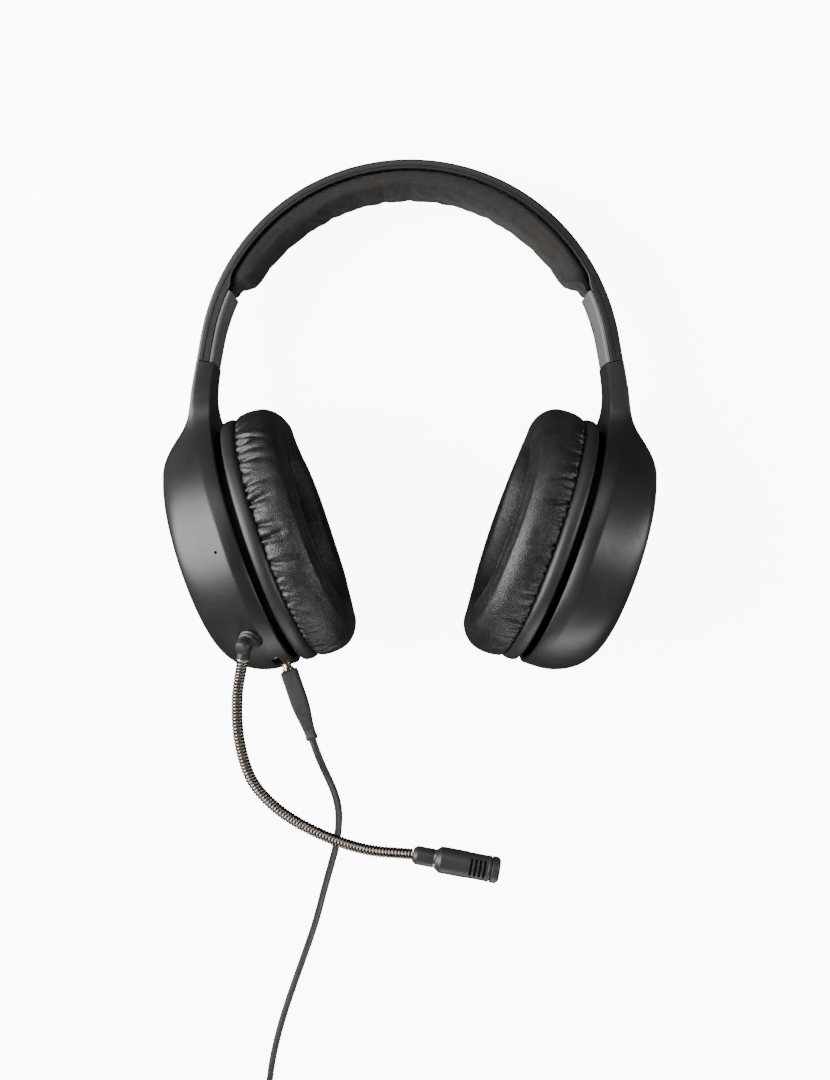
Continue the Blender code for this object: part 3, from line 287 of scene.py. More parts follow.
def find_world():
    """The design frame in the world, from the sliders' directions and the left cup's pivot."""
    left, right = (Vector(JOINTS[f"slider_{side}"]["axis"]) for side, _ in SIDES)
    out = left.cross(right).normalized()
    out = out if out.z > 0.0 else -out
    across = Vector((1.0, 0.0, 0.0))
    turn = Matrix((across, out.cross(across), out)).transposed()
    ball = cup_matrix() @ Vector((BALL_S, 0.0, 0.0)) * MM
    origin = Vector(JOINTS["cup_tilt_left"]["pos_m"]) - turn @ ball
    return Matrix.Translation(origin) @ turn.to_4x4() @ Matrix.Diagonal((MM, MM, MM, 1.0))


DESIGN = find_world()
MIRRORED = DESIGN @ Matrix.Diagonal((-1.0, 1.0, 1.0, 1.0))


def to_world(point):
    return DESIGN @ Vector(point)


def cup_point(s, t, w):
    return cup_matrix() @ Vector((s, t, w))


def cup_direction(s, t, w):
    return (cup_matrix().to_3x3() @ Vector((s, t, w))).normalized()


# ---------------------------------------------------------------- curves and numbers

def mixed(a, b, u):
    return a + (b - a) * u


def eased(x, low, high):
    u = min(max((x - low) / (high - low), 0.0), 1.0)
    return u * u * (3.0 - 2.0 * u)


def steps_between(low, high, count):
    return [mixed(low, high, i / count) for i in range(count + 1)]


def bezier(controls, u):
    weights = ((1 - u) ** 3, 3 * u * (1 - u) ** 2, 3 * u * u * (1 - u), u**3)
    return tuple(sum(weight * c[k] for weight, c in zip(weights, controls)) for k in range(len(controls[0])))


def along_table(table, x):
    """A smooth curve through (x, value) pairs, straight beyond its ends."""
    count = len(table)
    i = 0
    while i < count - 2 and x > table[i + 1][0]:
        i += 1
    (x0, y0), (x1, y1) = table[i], table[i + 1]

    def slope(k):
        low, high = max(k - 1, 0), min(k + 1, count - 1)
        return (table[high][1] - table[low][1]) / (table[high][0] - table[low][0])

    if x <= table[0][0] or x >= table[-1][0]:
        end = 0 if x <= table[0][0] else count - 1
        return table[end][1] + slope(end) * (x - table[end][0])
    u, h = (x - x0) / (x1 - x0), x1 - x0
    return ((2 * u**3 - 3 * u**2 + 1) * y0 + (u**3 - 2 * u**2 + u) * h * slope(i)
            + (3 * u**2 - 2 * u**3) * y1 + (u**3 - u**2) * h * slope(i + 1))


def smooth_curve(points, steps):
    """A centripetal Catmull-Rom curve through the points."""
    points = [Vector(p) for p in points]
    ends = [points[0] * 2 - points[1], *points, points[-1] * 2 - points[-2]]
    result = []
    for p0, p1, p2, p3 in zip(ends, ends[1:], ends[2:], ends[3:]):
        t1 = (p1 - p0).length ** 0.5
        t2 = t1 + (p2 - p1).length ** 0.5
        t3 = t2 + (p3 - p2).length ** 0.5
        for k in range(steps):
            t = mixed(t1, t2, k / steps)
            a1 = p0.lerp(p1, t / t1)
            a2 = p1.lerp(p2, (t - t1) / (t2 - t1))
            a3 = p2.lerp(p3, (t - t2) / (t3 - t2))
            b1 = a1.lerp(a2, t / t2)
            b2 = a2.lerp(a3, (t - t1) / (t3 - t1))
            result.append(b1.lerp(b2, (t - t1) / (t2 - t1)))
    result.append(points[-1])
    return result


def periodic(points, count):
    """A closed smooth curve through 2-D points, at count even steps of its parameter."""
    rows = np.array(points, float)
    size = len(rows)
    at = np.arange(count) * size / count
    i = at.astype(int)
    u = (at - i)[:, None]
    p0, p1, p2, p3 = (rows[(i + k) % size] for k in (-1, 0, 1, 2))
    return 0.5 * (2 * p1 + (p2 - p0) * u + (2 * p0 - 5 * p1 + 4 * p2 - p3) * u**2
                  + (3 * p1 - p0 - 3 * p2 + p3) * u**3)


# ---------------------------------------------------------------- mesh tools

def skin(rings, closed=False):
    """Joins rings of points into one closed body. A ring of one point is a tip."""
    bm = bmesh.new()
    made = [[bm.verts.new(point) for point in ring] for ring in rings]
    pairs = list(zip(made, made[1:]))
    if closed:
        pairs.append((made[-1], made[0]))
    for first, second in pairs:
        count = max(len(first), len(second))
        for i in range(count):
            j = (i + 1) % count
            if len(first) == 1:
                bm.faces.new((first[0], second[i], second[j]))
            elif len(second) == 1:
                bm.faces.new((first[i], second[0], first[j]))
            else:
                bm.faces.new((first[i], second[i], second[j], first[j]))
    if not closed:
        for ring in (made[0], made[-1]):
            if len(ring) > 2:
                bm.faces.new(ring)
    return bm


def piece(name, bm, look, body, mirrored=False, stands_for=(), cuts=(), sharp_deg=35.0, rounding=0.0):
    """Makes a finished piece from a bmesh in design millimetres, riding on its body."""
    obj = plain_object(name, bm, mirrored)
    for cutter_bm in cuts:
        carve(obj, plain_object(f"{name}_cutter", cutter_bm, mirrored))
    if rounding:
        bevel = obj.modifiers.new("Rounded edges", "BEVEL")
        bevel.width = rounding * MM
        bevel.segments = 3
        bevel.limit_method = "ANGLE"
        bevel.angle_limit = math.radians(30.0)
        bake(obj)
    dress(obj, look, body, stands_for, sharp_deg)
    return obj


def plain_object(name, bm, mirrored=False, matrix=None):
    bmesh.ops.transform(bm, matrix=matrix or (MIRRORED if mirrored else DESIGN), verts=bm.verts)
    bmesh.ops.recalc_face_normals(bm, faces=bm.faces)
    mesh = bpy.data.meshes.new(name)
    bm.to_mesh(mesh)
    bm.free()
    obj = bpy.data.objects.new(name, mesh)
    bpy.context.collection.objects.link(obj)
    return obj


def dress(obj, look, body, stands_for=(), sharp_deg=35.0):
    """Shades a mesh object, gives it its slot's material, and hangs it on its body."""
    obj.data.materials.clear()
    obj.data.materials.append(LOOKS[look])
    obj.data.shade_smooth()
    obj.data.set_sharp_from_angle(angle=math.radians(sharp_deg))
    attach(obj, body)
    if stands_for:
        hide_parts(*stands_for)


def bake(obj):
    """Applies an object's modifiers to its mesh."""
    graph = bpy.context.evaluated_depsgraph_get()
    made = bpy.data.meshes.new_from_object(obj.evaluated_get(graph))
    obj.modifiers.clear()
    obj.data = made


def carve(obj, cutter):
    boolean = obj.modifiers.new("Cut", "BOOLEAN")
    boolean.operation = "DIFFERENCE"
    boolean.object = cutter
    bake(obj)
    bpy.data.objects.remove(cutter, do_unlink=True)


def frame_along(axis):
    return Vector(axis).normalized().to_track_quat("Z", "Y").to_matrix().to_4x4()


def turned(profile, base, axis, sides=64):
    """A solid of revolution: profile holds (radius, height) pairs along the axis from base."""
    place = Matrix.Translation(Vector(base)) @ frame_along(axis)
    rings = []
    for radius, height in profile:
        if radius == 0.0:
            rings.append([place @ Vector((0.0, 0.0, height))])
            continue
        angles = [2.0 * math.pi * i / sides for i in range(sides)]
        rings.append([place @ Vector((radius * math.cos(a), radius * math.sin(a), height)) for a in angles])
    return rings


def rounded(profile, radius, steps=4):
    """A (radius, height) profile with its inner corners rounded."""
    points = [Vector(point) for point in profile]
    result = [points[0]]
    for before, corner, after in zip(points, points[1:], points[2:]):
        reach_in = min(radius, (before - corner).length * 0.45)
        reach_out = min(radius, (after - corner).length * 0.45)
        start = corner + (before - corner).normalized() * reach_in
        end = corner + (after - corner).normalized() * reach_out
        for k in range(steps + 1):
            u = k / steps
            result.append(start.lerp(corner, u).lerp(corner.lerp(end, u), u))
    result.append(points[-1])
    return [tuple(point) for point in result]


def block(centre, size, rotation=None):
    """The two rings of a box."""
    place = Matrix.Translation(Vector(centre)) @ (rotation or Matrix.Identity(4))
    corners = ((-1, -1), (1, -1), (1, 1), (-1, 1))
    half = Vector(size) / 2.0
    return [[place @ Vector((x * half.x, y * half.y, z * half.z)) for x, y in corners] for z in (-1, 1)]


def transported(points):
    """Frames (point, side, up) along a line, turning as little as they can."""
    points = [Vector(p) for p in points]
    tangents = []
    for i in range(len(points)):
        ahead, behind = points[min(i + 1, len(points) - 1)], points[max(i - 1, 0)]
        tangents.append((ahead - behind).normalized())
    side = tangents[0].orthogonal().normalized()
    frames = []
    for point, tangent in zip(points, tangents):
        side = (side - tangent * side.dot(tangent)).normalized()
        frames.append((point, side, tangent.cross(side)))
    return frames


# ---------------------------------------------------------------- materials

class Look:
    """A Principled material under construction, with object coordinates for its textures."""

    def __init__(self, name, roughness, metallic=0.0, **sockets):
        self.material = bpy.data.materials.new(name)
        self.material.use_nodes = True
        self.tree = self.material.node_tree
        self.shader = self.tree.nodes["Principled BSDF"]
        self.shader.inputs["Roughness"].default_value = roughness
        self.shader.inputs["Metallic"].default_value = metallic
        for socket, value in sockets.items():
            self.shader.inputs[socket.replace("_", " ")].default_value = value
        self.coords = self.node("ShaderNodeTexCoord").outputs["Object"]

    def node(self, kind, links=None, **values):
        made = self.tree.nodes.new(kind)
        for name, value in values.items():
            if hasattr(made, name):
                setattr(made, name, value)
            else:
                made.inputs[name.replace("_", " ")].default_value = value
        for socket, source in (links or {}).items():
            self.link(source, made.inputs[socket])
        return made

    def link(self, source, target):
        self.tree.links.new(source, target)

    def noise(self, size_mm, detail=2.0, rough=0.5, coords=None):
        made = self.node("ShaderNodeTexNoise", {"Vector": coords or self.coords})
        made.inputs["Scale"].default_value = 1.0 / (size_mm * MM)
        made.inputs["Detail"].default_value = detail
        made.inputs["Roughness"].default_value = rough
        return made.outputs["Fac"]

    def cells(self, size_mm, feature="DISTANCE_TO_EDGE", coords=None):
        made = self.node("ShaderNodeTexVoronoi", {"Vector": coords or self.coords}, feature=feature)
        made.inputs["Scale"].default_value = 1.0 / (size_mm * MM)
        return made.outputs["Distance"]

    def stretched(self, scale, rotation=(0.0, 0.0, 0.0)):
        made = self.node("ShaderNodeMapping", {"Vector": self.coords})
        made.inputs["Scale"].default_value = scale
        made.inputs["Rotation"].default_value = rotation
        return made.outputs["Vector"]

    def ranged(self, source, low, high, start=0.3, end=0.7):
        made = self.node("ShaderNodeMapRange", {"Value": source})
        for name, value in (("From Min", start), ("From Max", end), ("To Min", low), ("To Max", high)):
            made.inputs[name].default_value = value
        return made.outputs["Result"]

    def maths(self, operation, a, b):
        made = self.node("ShaderNodeMath", operation=operation)
        for socket, value in zip(made.inputs, (a, b)):
            if isinstance(value, float):
                socket.default_value = value
            else:
                self.link(value, socket)
        return made.outputs["Value"]

    def blended(self, first, first_share, second, second_share):
        """The sum of two sources, each times its share."""
        return self.maths("ADD", self.maths("MULTIPLY", first, first_share),
                          self.maths("MULTIPLY", second, second_share))

    def colours(self, fac, dark, light, start=0.3, end=0.7):
        ramp = self.node("ShaderNodeValToRGB", {"Fac": fac})
        ramp.color_ramp.elements[0].position = start
        ramp.color_ramp.elements[1].position = end
        ramp.color_ramp.elements[0].color = (*dark, 1.0)
        ramp.color_ramp.elements[1].color = (*light, 1.0)
        self.link(ramp.outputs["Color"], self.shader.inputs["Base Color"])

    def rough(self, fac, low, high, start=0.3, end=0.7):
        self.link(self.ranged(fac, low, high, start, end), self.shader.inputs["Roughness"])

    def bump(self, height, depth_mm, strength=1.0):
        links = {"Height": height}
        last = self.shader.inputs["Normal"].links
        if last:
            links["Normal"] = last[0].from_socket
        made = self.node("ShaderNodeBump", links)
        made.inputs["Strength"].default_value = strength
        made.inputs["Distance"].default_value = depth_mm * MM
        self.link(made.outputs["Normal"], self.shader.inputs["Normal"])


def moulded_plastic(name, dark, light, roughness, grain):
    """Satin plastic: spark-eroded grain, faint handling marks and slow colour change."""
    look = Look(name, roughness[0], **{"Specular_IOR_Level": 0.45})
    marks = look.noise(22.0, 5.0, 0.6)
    look.colours(marks, dark, light)
    wipes = look.noise(1.6, 3.0, 0.6, look.stretched((1.0, 0.12, 1.0), (0.0, 0.0, 0.5)))
    look.rough(look.blended(marks, 0.6, wipes, 0.4), *roughness)
    grain_size, grain_depth = grain
    look.bump(look.noise(grain_size, 2.0), grain_depth)
    look.bump(look.noise(9.0, 1.0), 0.03)
    return look.material


def leatherette(name):
    """Coated fabric: small pebbles, pores and slow sheen changes."""
    look = Look(name, 0.45, **{"Specular_IOR_Level": 0.5})
    pebbles = look.cells(0.85)
    patches = look.noise(7.0, 4.0, 0.6)
    look.colours(patches, (0.008, 0.0075, 0.007), (0.017, 0.0158, 0.0148))
    look.rough(look.blended(patches, 0.7, pebbles, 0.3), 0.3, 0.46, 0.15, 0.6)
    look.bump(look.ranged(pebbles, 0.0, 1.0, 0.0, 0.22), 0.06)
    look.bump(look.noise(0.3, 3.0), 0.02)
    look.bump(look.noise(3.5, 3.0, 0.6), 0.12)
    return look.material


def band_fabric(name):
    """The headband pad's fine-grained brown-black covering."""
    look = Look(name, 0.7, **{"Sheen_Weight": 0.1, "Sheen_Roughness": 0.5, "Specular_IOR_Level": 0.22})
    grain = look.cells(0.42)
    patches = look.noise(5.0, 4.0, 0.65)
    look.colours(look.blended(patches, 0.6, grain, 0.8), (0.012, 0.0105, 0.0095),
                 (0.032, 0.028, 0.0245), 0.25, 0.7)
    look.rough(patches, 0.55, 0.8)
    look.bump(look.ranged(grain, 0.0, 1.0, 0.0, 0.25), 0.05)
    look.bump(look.noise(1.6, 4.0, 0.7), 0.06)
    return look.material


def woven(name, dark, light, thread_mm):
    """A plain weave: two crossed sets of threads."""
    look = Look(name, 0.85, **{"Sheen_Weight": 0.15})
    threads = []
    for direction in ("X", "Y"):
        wave = look.node("ShaderNodeTexWave", {"Vector": look.coords}, wave_type="BANDS",
                         bands_direction=direction)
        wave.inputs["Scale"].default_value = 0.314 / (thread_mm * MM)
        wave.inputs["Distortion"].default_value = 0.4
        threads.append(wave.outputs["Fac"])
    crossed = look.maths("MULTIPLY", *threads)
    fluff = look.maths("MULTIPLY", look.noise(4.0, 3.0), 0.3)
    look.colours(look.maths("ADD", crossed, fluff), dark, light, 0.1, 0.9)
    look.rough(crossed, 0.95, 0.7)
    look.bump(crossed, 0.08)
    return look.material


def bare_metal(name, dark, light, roughness, brushed):
    look = Look(name, roughness[0], 1.0)
    streaks = look.noise(0.6, 4.0, 0.6, look.stretched(brushed))
    look.colours(streaks, dark, light)
    look.rough(look.blended(streaks, 0.6, look.noise(6.0, 3.0), 0.4), *roughness)
    look.bump(streaks, 0.006)
    return look.material


def wound_wire(name):
    """Gunmetal wire with patchy tarnish, its colour painted with shade that darkens the grooves between its turns.
    """
    look = Look(name, 0.25, 1.0)
    crest = look.node("ShaderNodeAttribute", attribute_name="crest").outputs["Fac"]
    tarnish = look.noise(1.5, 3.0)
    # Painted shade: the colour falls to near black away from each turn's crest, where the grooves lie in shade;
    # tarnish noise varies it at random.
    painted_groove_shade_and_tarnish = look.maths("MULTIPLY", look.ranged(crest, 0.0, 1.0, 0.35, 0.95), look.ranged(tarnish, 0.75, 1.0))
    look.colours(painted_groove_shade_and_tarnish, (0.008, 0.007, 0.006), (0.22, 0.19, 0.168), 0.0, 1.0)
    look.rough(tarnish, 0.2, 0.34)
    look.bump(look.noise(0.4, 2.0), 0.01)
    return look.material


def soft_rubber(name):
    look = Look(name, 0.5, **{"Specular_IOR_Level": 0.4})
    dust = look.noise(2.5, 5.0, 0.7)
    look.colours(dust, (0.016, 0.016, 0.016), (0.03, 0.03, 0.029))
    look.rough(dust, 0.42, 0.62)
    look.bump(look.noise(0.25, 2.0), 0.012)
    return look.material


def laminate(name):
    look = Look(name, 0.4)
    look.colours(look.cells(1.8, "F1"), (0.01, 0.07, 0.03), (0.03, 0.16, 0.07), 0.1, 0.6)
    look.rough(look.noise(3.0), 0.35, 0.55)
    look.bump(look.noise(1.2, 1.0), 0.05)
    return look.material


def make_looks():
    """One material for each slot."""
    looks = {slot: moulded_plastic(*row) for slot, row in PLASTICS.items()}
    looks.update({slot: bare_metal(*row) for slot, row in METALS.items()})
    looks.update({
        "cushion": leatherette("Black leatherette"),
        "pad": band_fabric("Band covering"),
        "scrim": woven("Acoustic cloth", (0.004, 0.004, 0.004), (0.02, 0.02, 0.019), 0.55),
        "tie": woven("Strap weave", (0.006, 0.006, 0.006), (0.03, 0.03, 0.03), 0.7),
        "gooseneck": wound_wire("Gunmetal winding"),
        "cable": soft_rubber("Cable jacket"),
        "board": laminate("Circuit laminate"),
    })
    return looks


LOOKS = make_looks()


# ---------------------------------------------------------------- camera, light and table

def make_camera():
    data = bpy.data.cameras.new("Camera")
    data.lens = LENS
    data.sensor_width = 36.0
    data.clip_start = 0.01
    camera = bpy.data.objects.new("Camera", data)
    bpy.context.collection.objects.link(camera)
    camera.matrix_world = DESIGN.normalized()
    camera.location = to_world(CAMERA_AT)
    bpy.context.scene.camera = camera


def softbox(name, at, towards, size, power):
    data = bpy.data.lights.new(name, "AREA")
    data.shape = "RECTANGLE"
    data.size, data.size_y = size
    data.energy = power
    lamp = bpy.data.objects.new(name, data)
    bpy.context.collection.objects.link(lamp)
    lamp.location = at
    lamp.rotation_euler = (Vector(towards) - Vector(at)).to_track_quat("-Z", "Y").to_euler()


def make_stage():
    floor_look = Look("Pale table", 0.9)
    floor_look.colours(floor_look.noise(60.0, 2.0), (0.87, 0.87, 0.87), (0.89, 0.89, 0.89))
    floor_look.shader.inputs["Emission Color"].default_value = (1.0, 1.0, 1.0, 1.0)
    floor_look.shader.inputs["Emission Strength"].default_value = FLOOR_GLOW
    bm = bmesh.new()
    bmesh.ops.create_grid(bm, x_segments=1, y_segments=1, size=FLOOR_HALF)
    floor = plain_object("table_top", bm, matrix=Matrix.Identity(4))
    floor.data.materials.append(floor_look.material)
    floor.visible_glossy = False
    floor.visible_diffuse = False
    world = bpy.data.worlds.new("Studio")
    world.use_nodes = True
    world.node_tree.nodes["Background"].inputs["Color"].default_value = (0.95, 0.97, 1.0, 1.0)
    world.node_tree.nodes["Background"].inputs["Strength"].default_value = ROOM_GLOW
    bpy.context.scene.world = world
    for name, (at, size, power) in SOFTBOXES.items():
        softbox(name, at, LIT_POINT, size, power)


make_camera()
make_stage()


# ---------------------------------------------------------------- cable

def coil_points():
    """Two layers of turns: inwards on the table, up at the middle, and outwards on top."""
    points = []
    turns = 2 * COIL_ROWS - 0.75
    count = round(turns * COIL_STEPS)
    for i in range(count + 1):
        turn = i / COIL_STEPS
        row, layer, height = coil_place(turn)
        angle = math.pi + 2.0 * math.pi * turn
        radius = COIL_OUTER - row * CABLE_D
        points.append((COIL_CENTRE[0] + radius * math.cos(angle),
                       COIL_CENTRE[1] + radius * math.sin(angle), height))
    return points


def coil_place(turn):
    """Which row and layer a place in the coil is in, and its height."""
    whole = int(turn)
    shift = eased(turn - whole, 1.0 - COIL_SHIFT, 1.0)
    last = COIL_ROWS - 1
    if whole < last:
        return whole + shift, 0, COIL_LAYERS[0]
    if whole == last:
        return last, 0, mixed(*COIL_LAYERS, shift)
    out = whole - COIL_ROWS
    return last - min(out + shift, last), 1, COIL_LAYERS[1]


def cable_line():
    down = cup_direction(0, -1, 0)
    start = to_world(cup_point(*CABLE_PORT) + down * (PLUG_START + PLUG_LENGTH - 1.0))
    return [tuple(start), *CABLE_ROUTE, *coil_points(), *TAIL_ROUTE]


def make_cable(with_pieces):
    line = smooth_curve(cable_line(), 3)
    curve = bpy.data.curves.new("audio_cable", "CURVE")
    curve.dimensions = "3D"
    curve.bevel_depth = CABLE_D / 2.0
    curve.bevel_resolution = 5
    curve.use_fill_caps = True
    spline = curve.splines.new("POLY")
    spline.points.add(len(line) - 1)
    for place, point in zip(spline.points, line):
        place.co = (*point, 1.0)
    curve.materials.append(LOOKS["cable"])
    cable = bpy.data.objects.new("audio_cable", curve)
    bpy.context.collection.objects.link(cable)
    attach(cable, "arm_left")
    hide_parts("cable_lead", "cable_coil", "cable_tail")


def overmould(rows, base, along, across, points=8):
    """A moulded plug from (height, half x, half y, corner) rows, its outline a rounded rectangle."""
    up = along.cross(across)
    rings = []
    for height, half_x, half_y, corner in rows:
        ring = []
        for quarter in range(4):
            centre_x = (half_x - corner) * (1, -1, -1, 1)[quarter]
            centre_y = (half_y - corner) * (1, 1, -1, -1)[quarter]
            for k in range(points):
                angle = math.pi / 2.0 * (quarter + k / (points - 1))
                x, y = centre_x + corner * math.cos(angle), centre_y + corner * math.sin(angle)
                ring.append(base + along * height + across * x + up * y)
        rings.append(ring)
    return rings


def plug_taper():
    """Rows that narrow from the plug's grip to its relief."""
    from_height, from_x, from_y, _ = PLUG_GRIP[-1]
    to_height, to_x, to_y, corner = PLUG_TAPER_END
    rows = []
    for u in (0.2, 0.4, 0.6, 0.8, 1.0):
        half_x = mixed(from_x, to_x, eased(u, 0.0, 1.0))
        rows.append((mixed(from_height, to_height, u), half_x, mixed(from_y, to_y, u), corner))
    return rows


def make_cable_plug():
    """The plug under the left cup: a grip with a raised spine, a short relief and its pin."""
    down, across = cup_direction(0, -1, 0), cup_direction(1, 0, 0)
    face = across.cross(down)
    outlet = cup_point(*CABLE_PORT)
    base = outlet + down * PLUG_START
    grip = skin(overmould([*PLUG_GRIP, *plug_taper(), *PLUG_RELIEF], base, down, across))
    body = piece("plug_grip", grip, "cable", "arm_left", stands_for=("cable_plug_body",))
    lean = (down - face * SPINE_LEAN).normalized()
    spine = skin(overmould(PLUG_SPINE, base + face * SPINE_RISE, lean, across))
    ridge = piece("plug_spine", spine, "cable", "arm_left")
    pin = piece("plug_pin", skin(turned(rounded(PLUG_PIN, 0.2), outlet, down, 32)), "gold",
                "arm_left", stands_for=("cable_plug_pin",))
    return [body, ridge, pin]


def from_table(points):
    """Rings given in millimetres on the table, in the design frame."""
    inverse = DESIGN.inverted()
    return [[inverse @ (Vector(point) * MM) for point in ring] for ring in points]


def ribbed_relief():
    """Rows of the far plug's relief, each rib a little larger than the last."""
    rows = [END_RELIEF_TIP]
    for k in range(RIBS):
        for height, half, corner in RIB:
            grown = half + RIB_GROWTH * k
            rows.append((k * RIB_PITCH + height, grown, grown, corner))
    return rows


def make_end_plug():
    """The cable's far plug: a ribbed relief, a round-cornered grip and a jack with three rings."""
    along, across = Vector((1.0, 0.0, 0.0)), Vector((0.0, 1.0, 0.0))
    base = Vector(END_PLUG_AT)
    grip = overmould([*ribbed_relief(), *END_GRIP], base, along, across)
    pin = turned(rounded(END_PIN, 0.15), base, along, 32)
    made = [piece("end_grip", skin(from_table(grip)), "cable", "arm_left", stands_for=("end_plug_body",)),
            piece("end_pin", skin(from_table(pin)), "gold", "arm_left", stands_for=("end_plug_pin",))]
    for k, at in enumerate(END_RINGS):
        band = turned([(radius, at + height) for radius, height in END_RING], base, along, 32)
        made.append(piece(f"end_ring_{k + 1}", skin(from_table(band)), "shell", "arm_left"))
    return made


def strap_path(near, far):
    """The strap's way round the bundle of turns, in x and z on the table, with round corners."""
    low, high = STRAP_HEIGHTS
    corners = [Vector(corner) for corner in ((near, low), (far, low), (far, high), (near, high))]
    path = []
    for i, corner in enumerate(corners):
        before, after = corners[i - 1], corners[(i + 1) % 4]
        start = corner.lerp(before, STRAP_CORNER)
        end = corner.lerp(after, STRAP_CORNER)
        for k in range(STRAP_CORNER_STEPS + 1):
            u = k / STRAP_CORNER_STEPS
            path.append(start.lerp(corner, u).lerp(corner.lerp(end, u), u))
    return path


def strap_rings(path, middle):
    """The strap's section at each point of its path, its edges eased and slightly wavy."""
    thick = STRAP_THICK
    rings = []
    for i, point in enumerate(path):
        along = (path[(i + 1) % len(path)] - path[i - 1]).normalized()
        out = Vector((along.y, -along.x))
        wide = STRAP_HALF + 0.12 * math.sin(i * 1.7)
        section = ((-wide, 0.1), (-wide + 0.2, 0.0), (wide - 0.2, 0.0), (wide, 0.1),
                   (wide, thick - 0.1), (wide - 0.2, thick), (-wide + 0.2, thick), (-wide, thick - 0.1))
        ring = []
        for side, depth in section:
            ring.append(Vector((point.x - out.x * depth, middle + side, point.y - out.y * depth)))
        rings.append(ring)
    return rings


def make_tie():
    """A hook-and-loop strap once round the coil, its free end lapped over."""
    x, y = COIL_CENTRE[0] / MM, COIL_CENTRE[1] / MM
    near = x + COIL_OUTER / MM - COIL_ROWS * CABLE_D / MM + STRAP_SLACK[0]
    far = x + COIL_OUTER / MM + STRAP_SLACK[1]
    strap = piece("cable_strap", skin(from_table(strap_rings(strap_path(near, far), y)), closed=True),
                  "tie", "arm_left", stands_for=("coil_tie",))
    lap = from_table(block(((near + far) / 2.0 + 1.0, y, LAP_HEIGHT), LAP_SIZE))
    tongue = piece("cable_strap_end", skin(lap), "tie", "arm_left", rounding=0.15)
    return [strap, tongue]


make_cable([*make_cable_plug(), *make_end_plug(), *make_tie()])


# ---------------------------------------------------------------- headband

def band_point(reach, depth):
    """The place at a signed length from the crown along the band's outer face, and a depth below it."""
    arc_length = BAND_RADIUS * math.radians(BAND_ARC_DEG)
    side = math.copysign(1.0, reach)
    angle = min(abs(reach), arc_length) / BAND_RADIUS
    beyond = max(abs(reach) - arc_length, 0.0)
    out = Vector((side * math.sin(angle), math.cos(angle), 0.0))
    down = Vector((side * math.cos(angle), -math.sin(angle), 0.0))
    return out * (BAND_RADIUS - depth) + down * beyond


def band_half_width(reach):
    return mixed(BAND_HALF_TOP, BAND_HALF_END, eased(abs(reach), 40.0, BAND_REACH))


def band_sweep(section, reaches):
    rings = []
    for reach in reaches:
        places = [(band_point(reach, depth), across) for depth, across in section(reach)]
        rings.append([Vector((place.x, place.y, across)) for place, across in places])
    return rings


def shell_section(reach):
    """A shallow channel with rounded shoulders and a fine line round its liner."""
    half = band_half_width(reach)
    side = mixed(BAND_DEPTH_TOP, BAND_DEPTH, eased(abs(reach), PAD_REACH - 5.0, PAD_REACH + 1.0))
    near, far = GROOVE_DEPTHS
    outer = [(0.0, half - EDGE_ROUND)]
    for k in range(1, 6):
        angle = math.pi / 2.0 * k / 5
        outer.append((EDGE_ROUND * (1.0 - math.cos(angle)), half - EDGE_ROUND * (1.0 - math.sin(angle))))
    outer += [(near, half), (near + 0.1, half - 0.3), (far - 0.1, half - 0.3), (far, half - 0.05),
              (side - 0.25, half - 0.05), (side, half - 0.3), (side, half - WALL), (WALL, half - WALL - 0.2)]
    crown = [(0.0, (half - EDGE_ROUND) * u) for u in (0.66, 0.33)]
    one_side = crown[::-1] + outer
    return one_side + [(depth, -across) for depth, across in one_side[::-1]]


def make_band():
    rings = band_sweep(shell_section, steps_between(-BAND_REACH, BAND_REACH, BAND_STEPS))
    piece("band_shell", skin(rings), "shell", "headband", stands_for=("headband_shell",))


def pad_outline(reach):
    """(depth, across) round the pad's section: flat on the band, crowned towards the head."""
    near_end = eased(abs(reach), PAD_REACH - 7.0, PAD_REACH)
    half = band_half_width(reach) - 1.7 - 2.2 * near_end
    low = PAD_LOW - 5.0 * near_end
    top = PAD_TOP + 0.1
    shape = [(top, 0.0), (top, half * 0.5), (top, half - 1.6), (top + 1.0, half - 0.4), (top + 2.6, half),
             (mixed(top, low, 0.72), half - 0.5), (low - 0.9, half - 2.4), (low - 0.1, half - 5.6),
             (low + 0.15, half * 0.33)]
    return shape + [(low + 0.2, 0.0)] + [(depth, -across) for depth, across in reversed(shape[1:])]


def pad_nose(ring, reach, share):
    """A copy of the pad's last ring, drawn towards the band and a little further along it."""
    root = band_point(reach, PAD_TOP + 0.4)
    along = (root - band_point(reach - math.copysign(1.0, reach), PAD_TOP + 0.4)).normalized()
    slide = along * (PAD_NOSE_LENGTH * (1.0 - share) ** 0.5)
    return [root + slide + (point - root) * share for point in ring]


def creased(grid, reaches):
    """Presses the pad's lower face in towards each fold, and more sharply at the fold itself."""
    for i, reach in enumerate(reaches):
        fold = abs((reach / FOLD_EVERY) % 1.0 - 0.5) * 2.0
        crease = math.exp(-((1.0 - fold) / 0.16) ** 2)
        centre = band_point(reach, 0.0)
        inward = (band_point(reach, 1.0) - centre).normalized()
        for j in range(PAD_ROWS):
            place = Vector(grid[i, j])
            share = eased((place - centre).dot(inward), 7.0, 10.5)
            grid[i, j] = place - inward * (FOLD_DEPTH * crease + SAG_DEPTH * fold**2) * share
    return grid


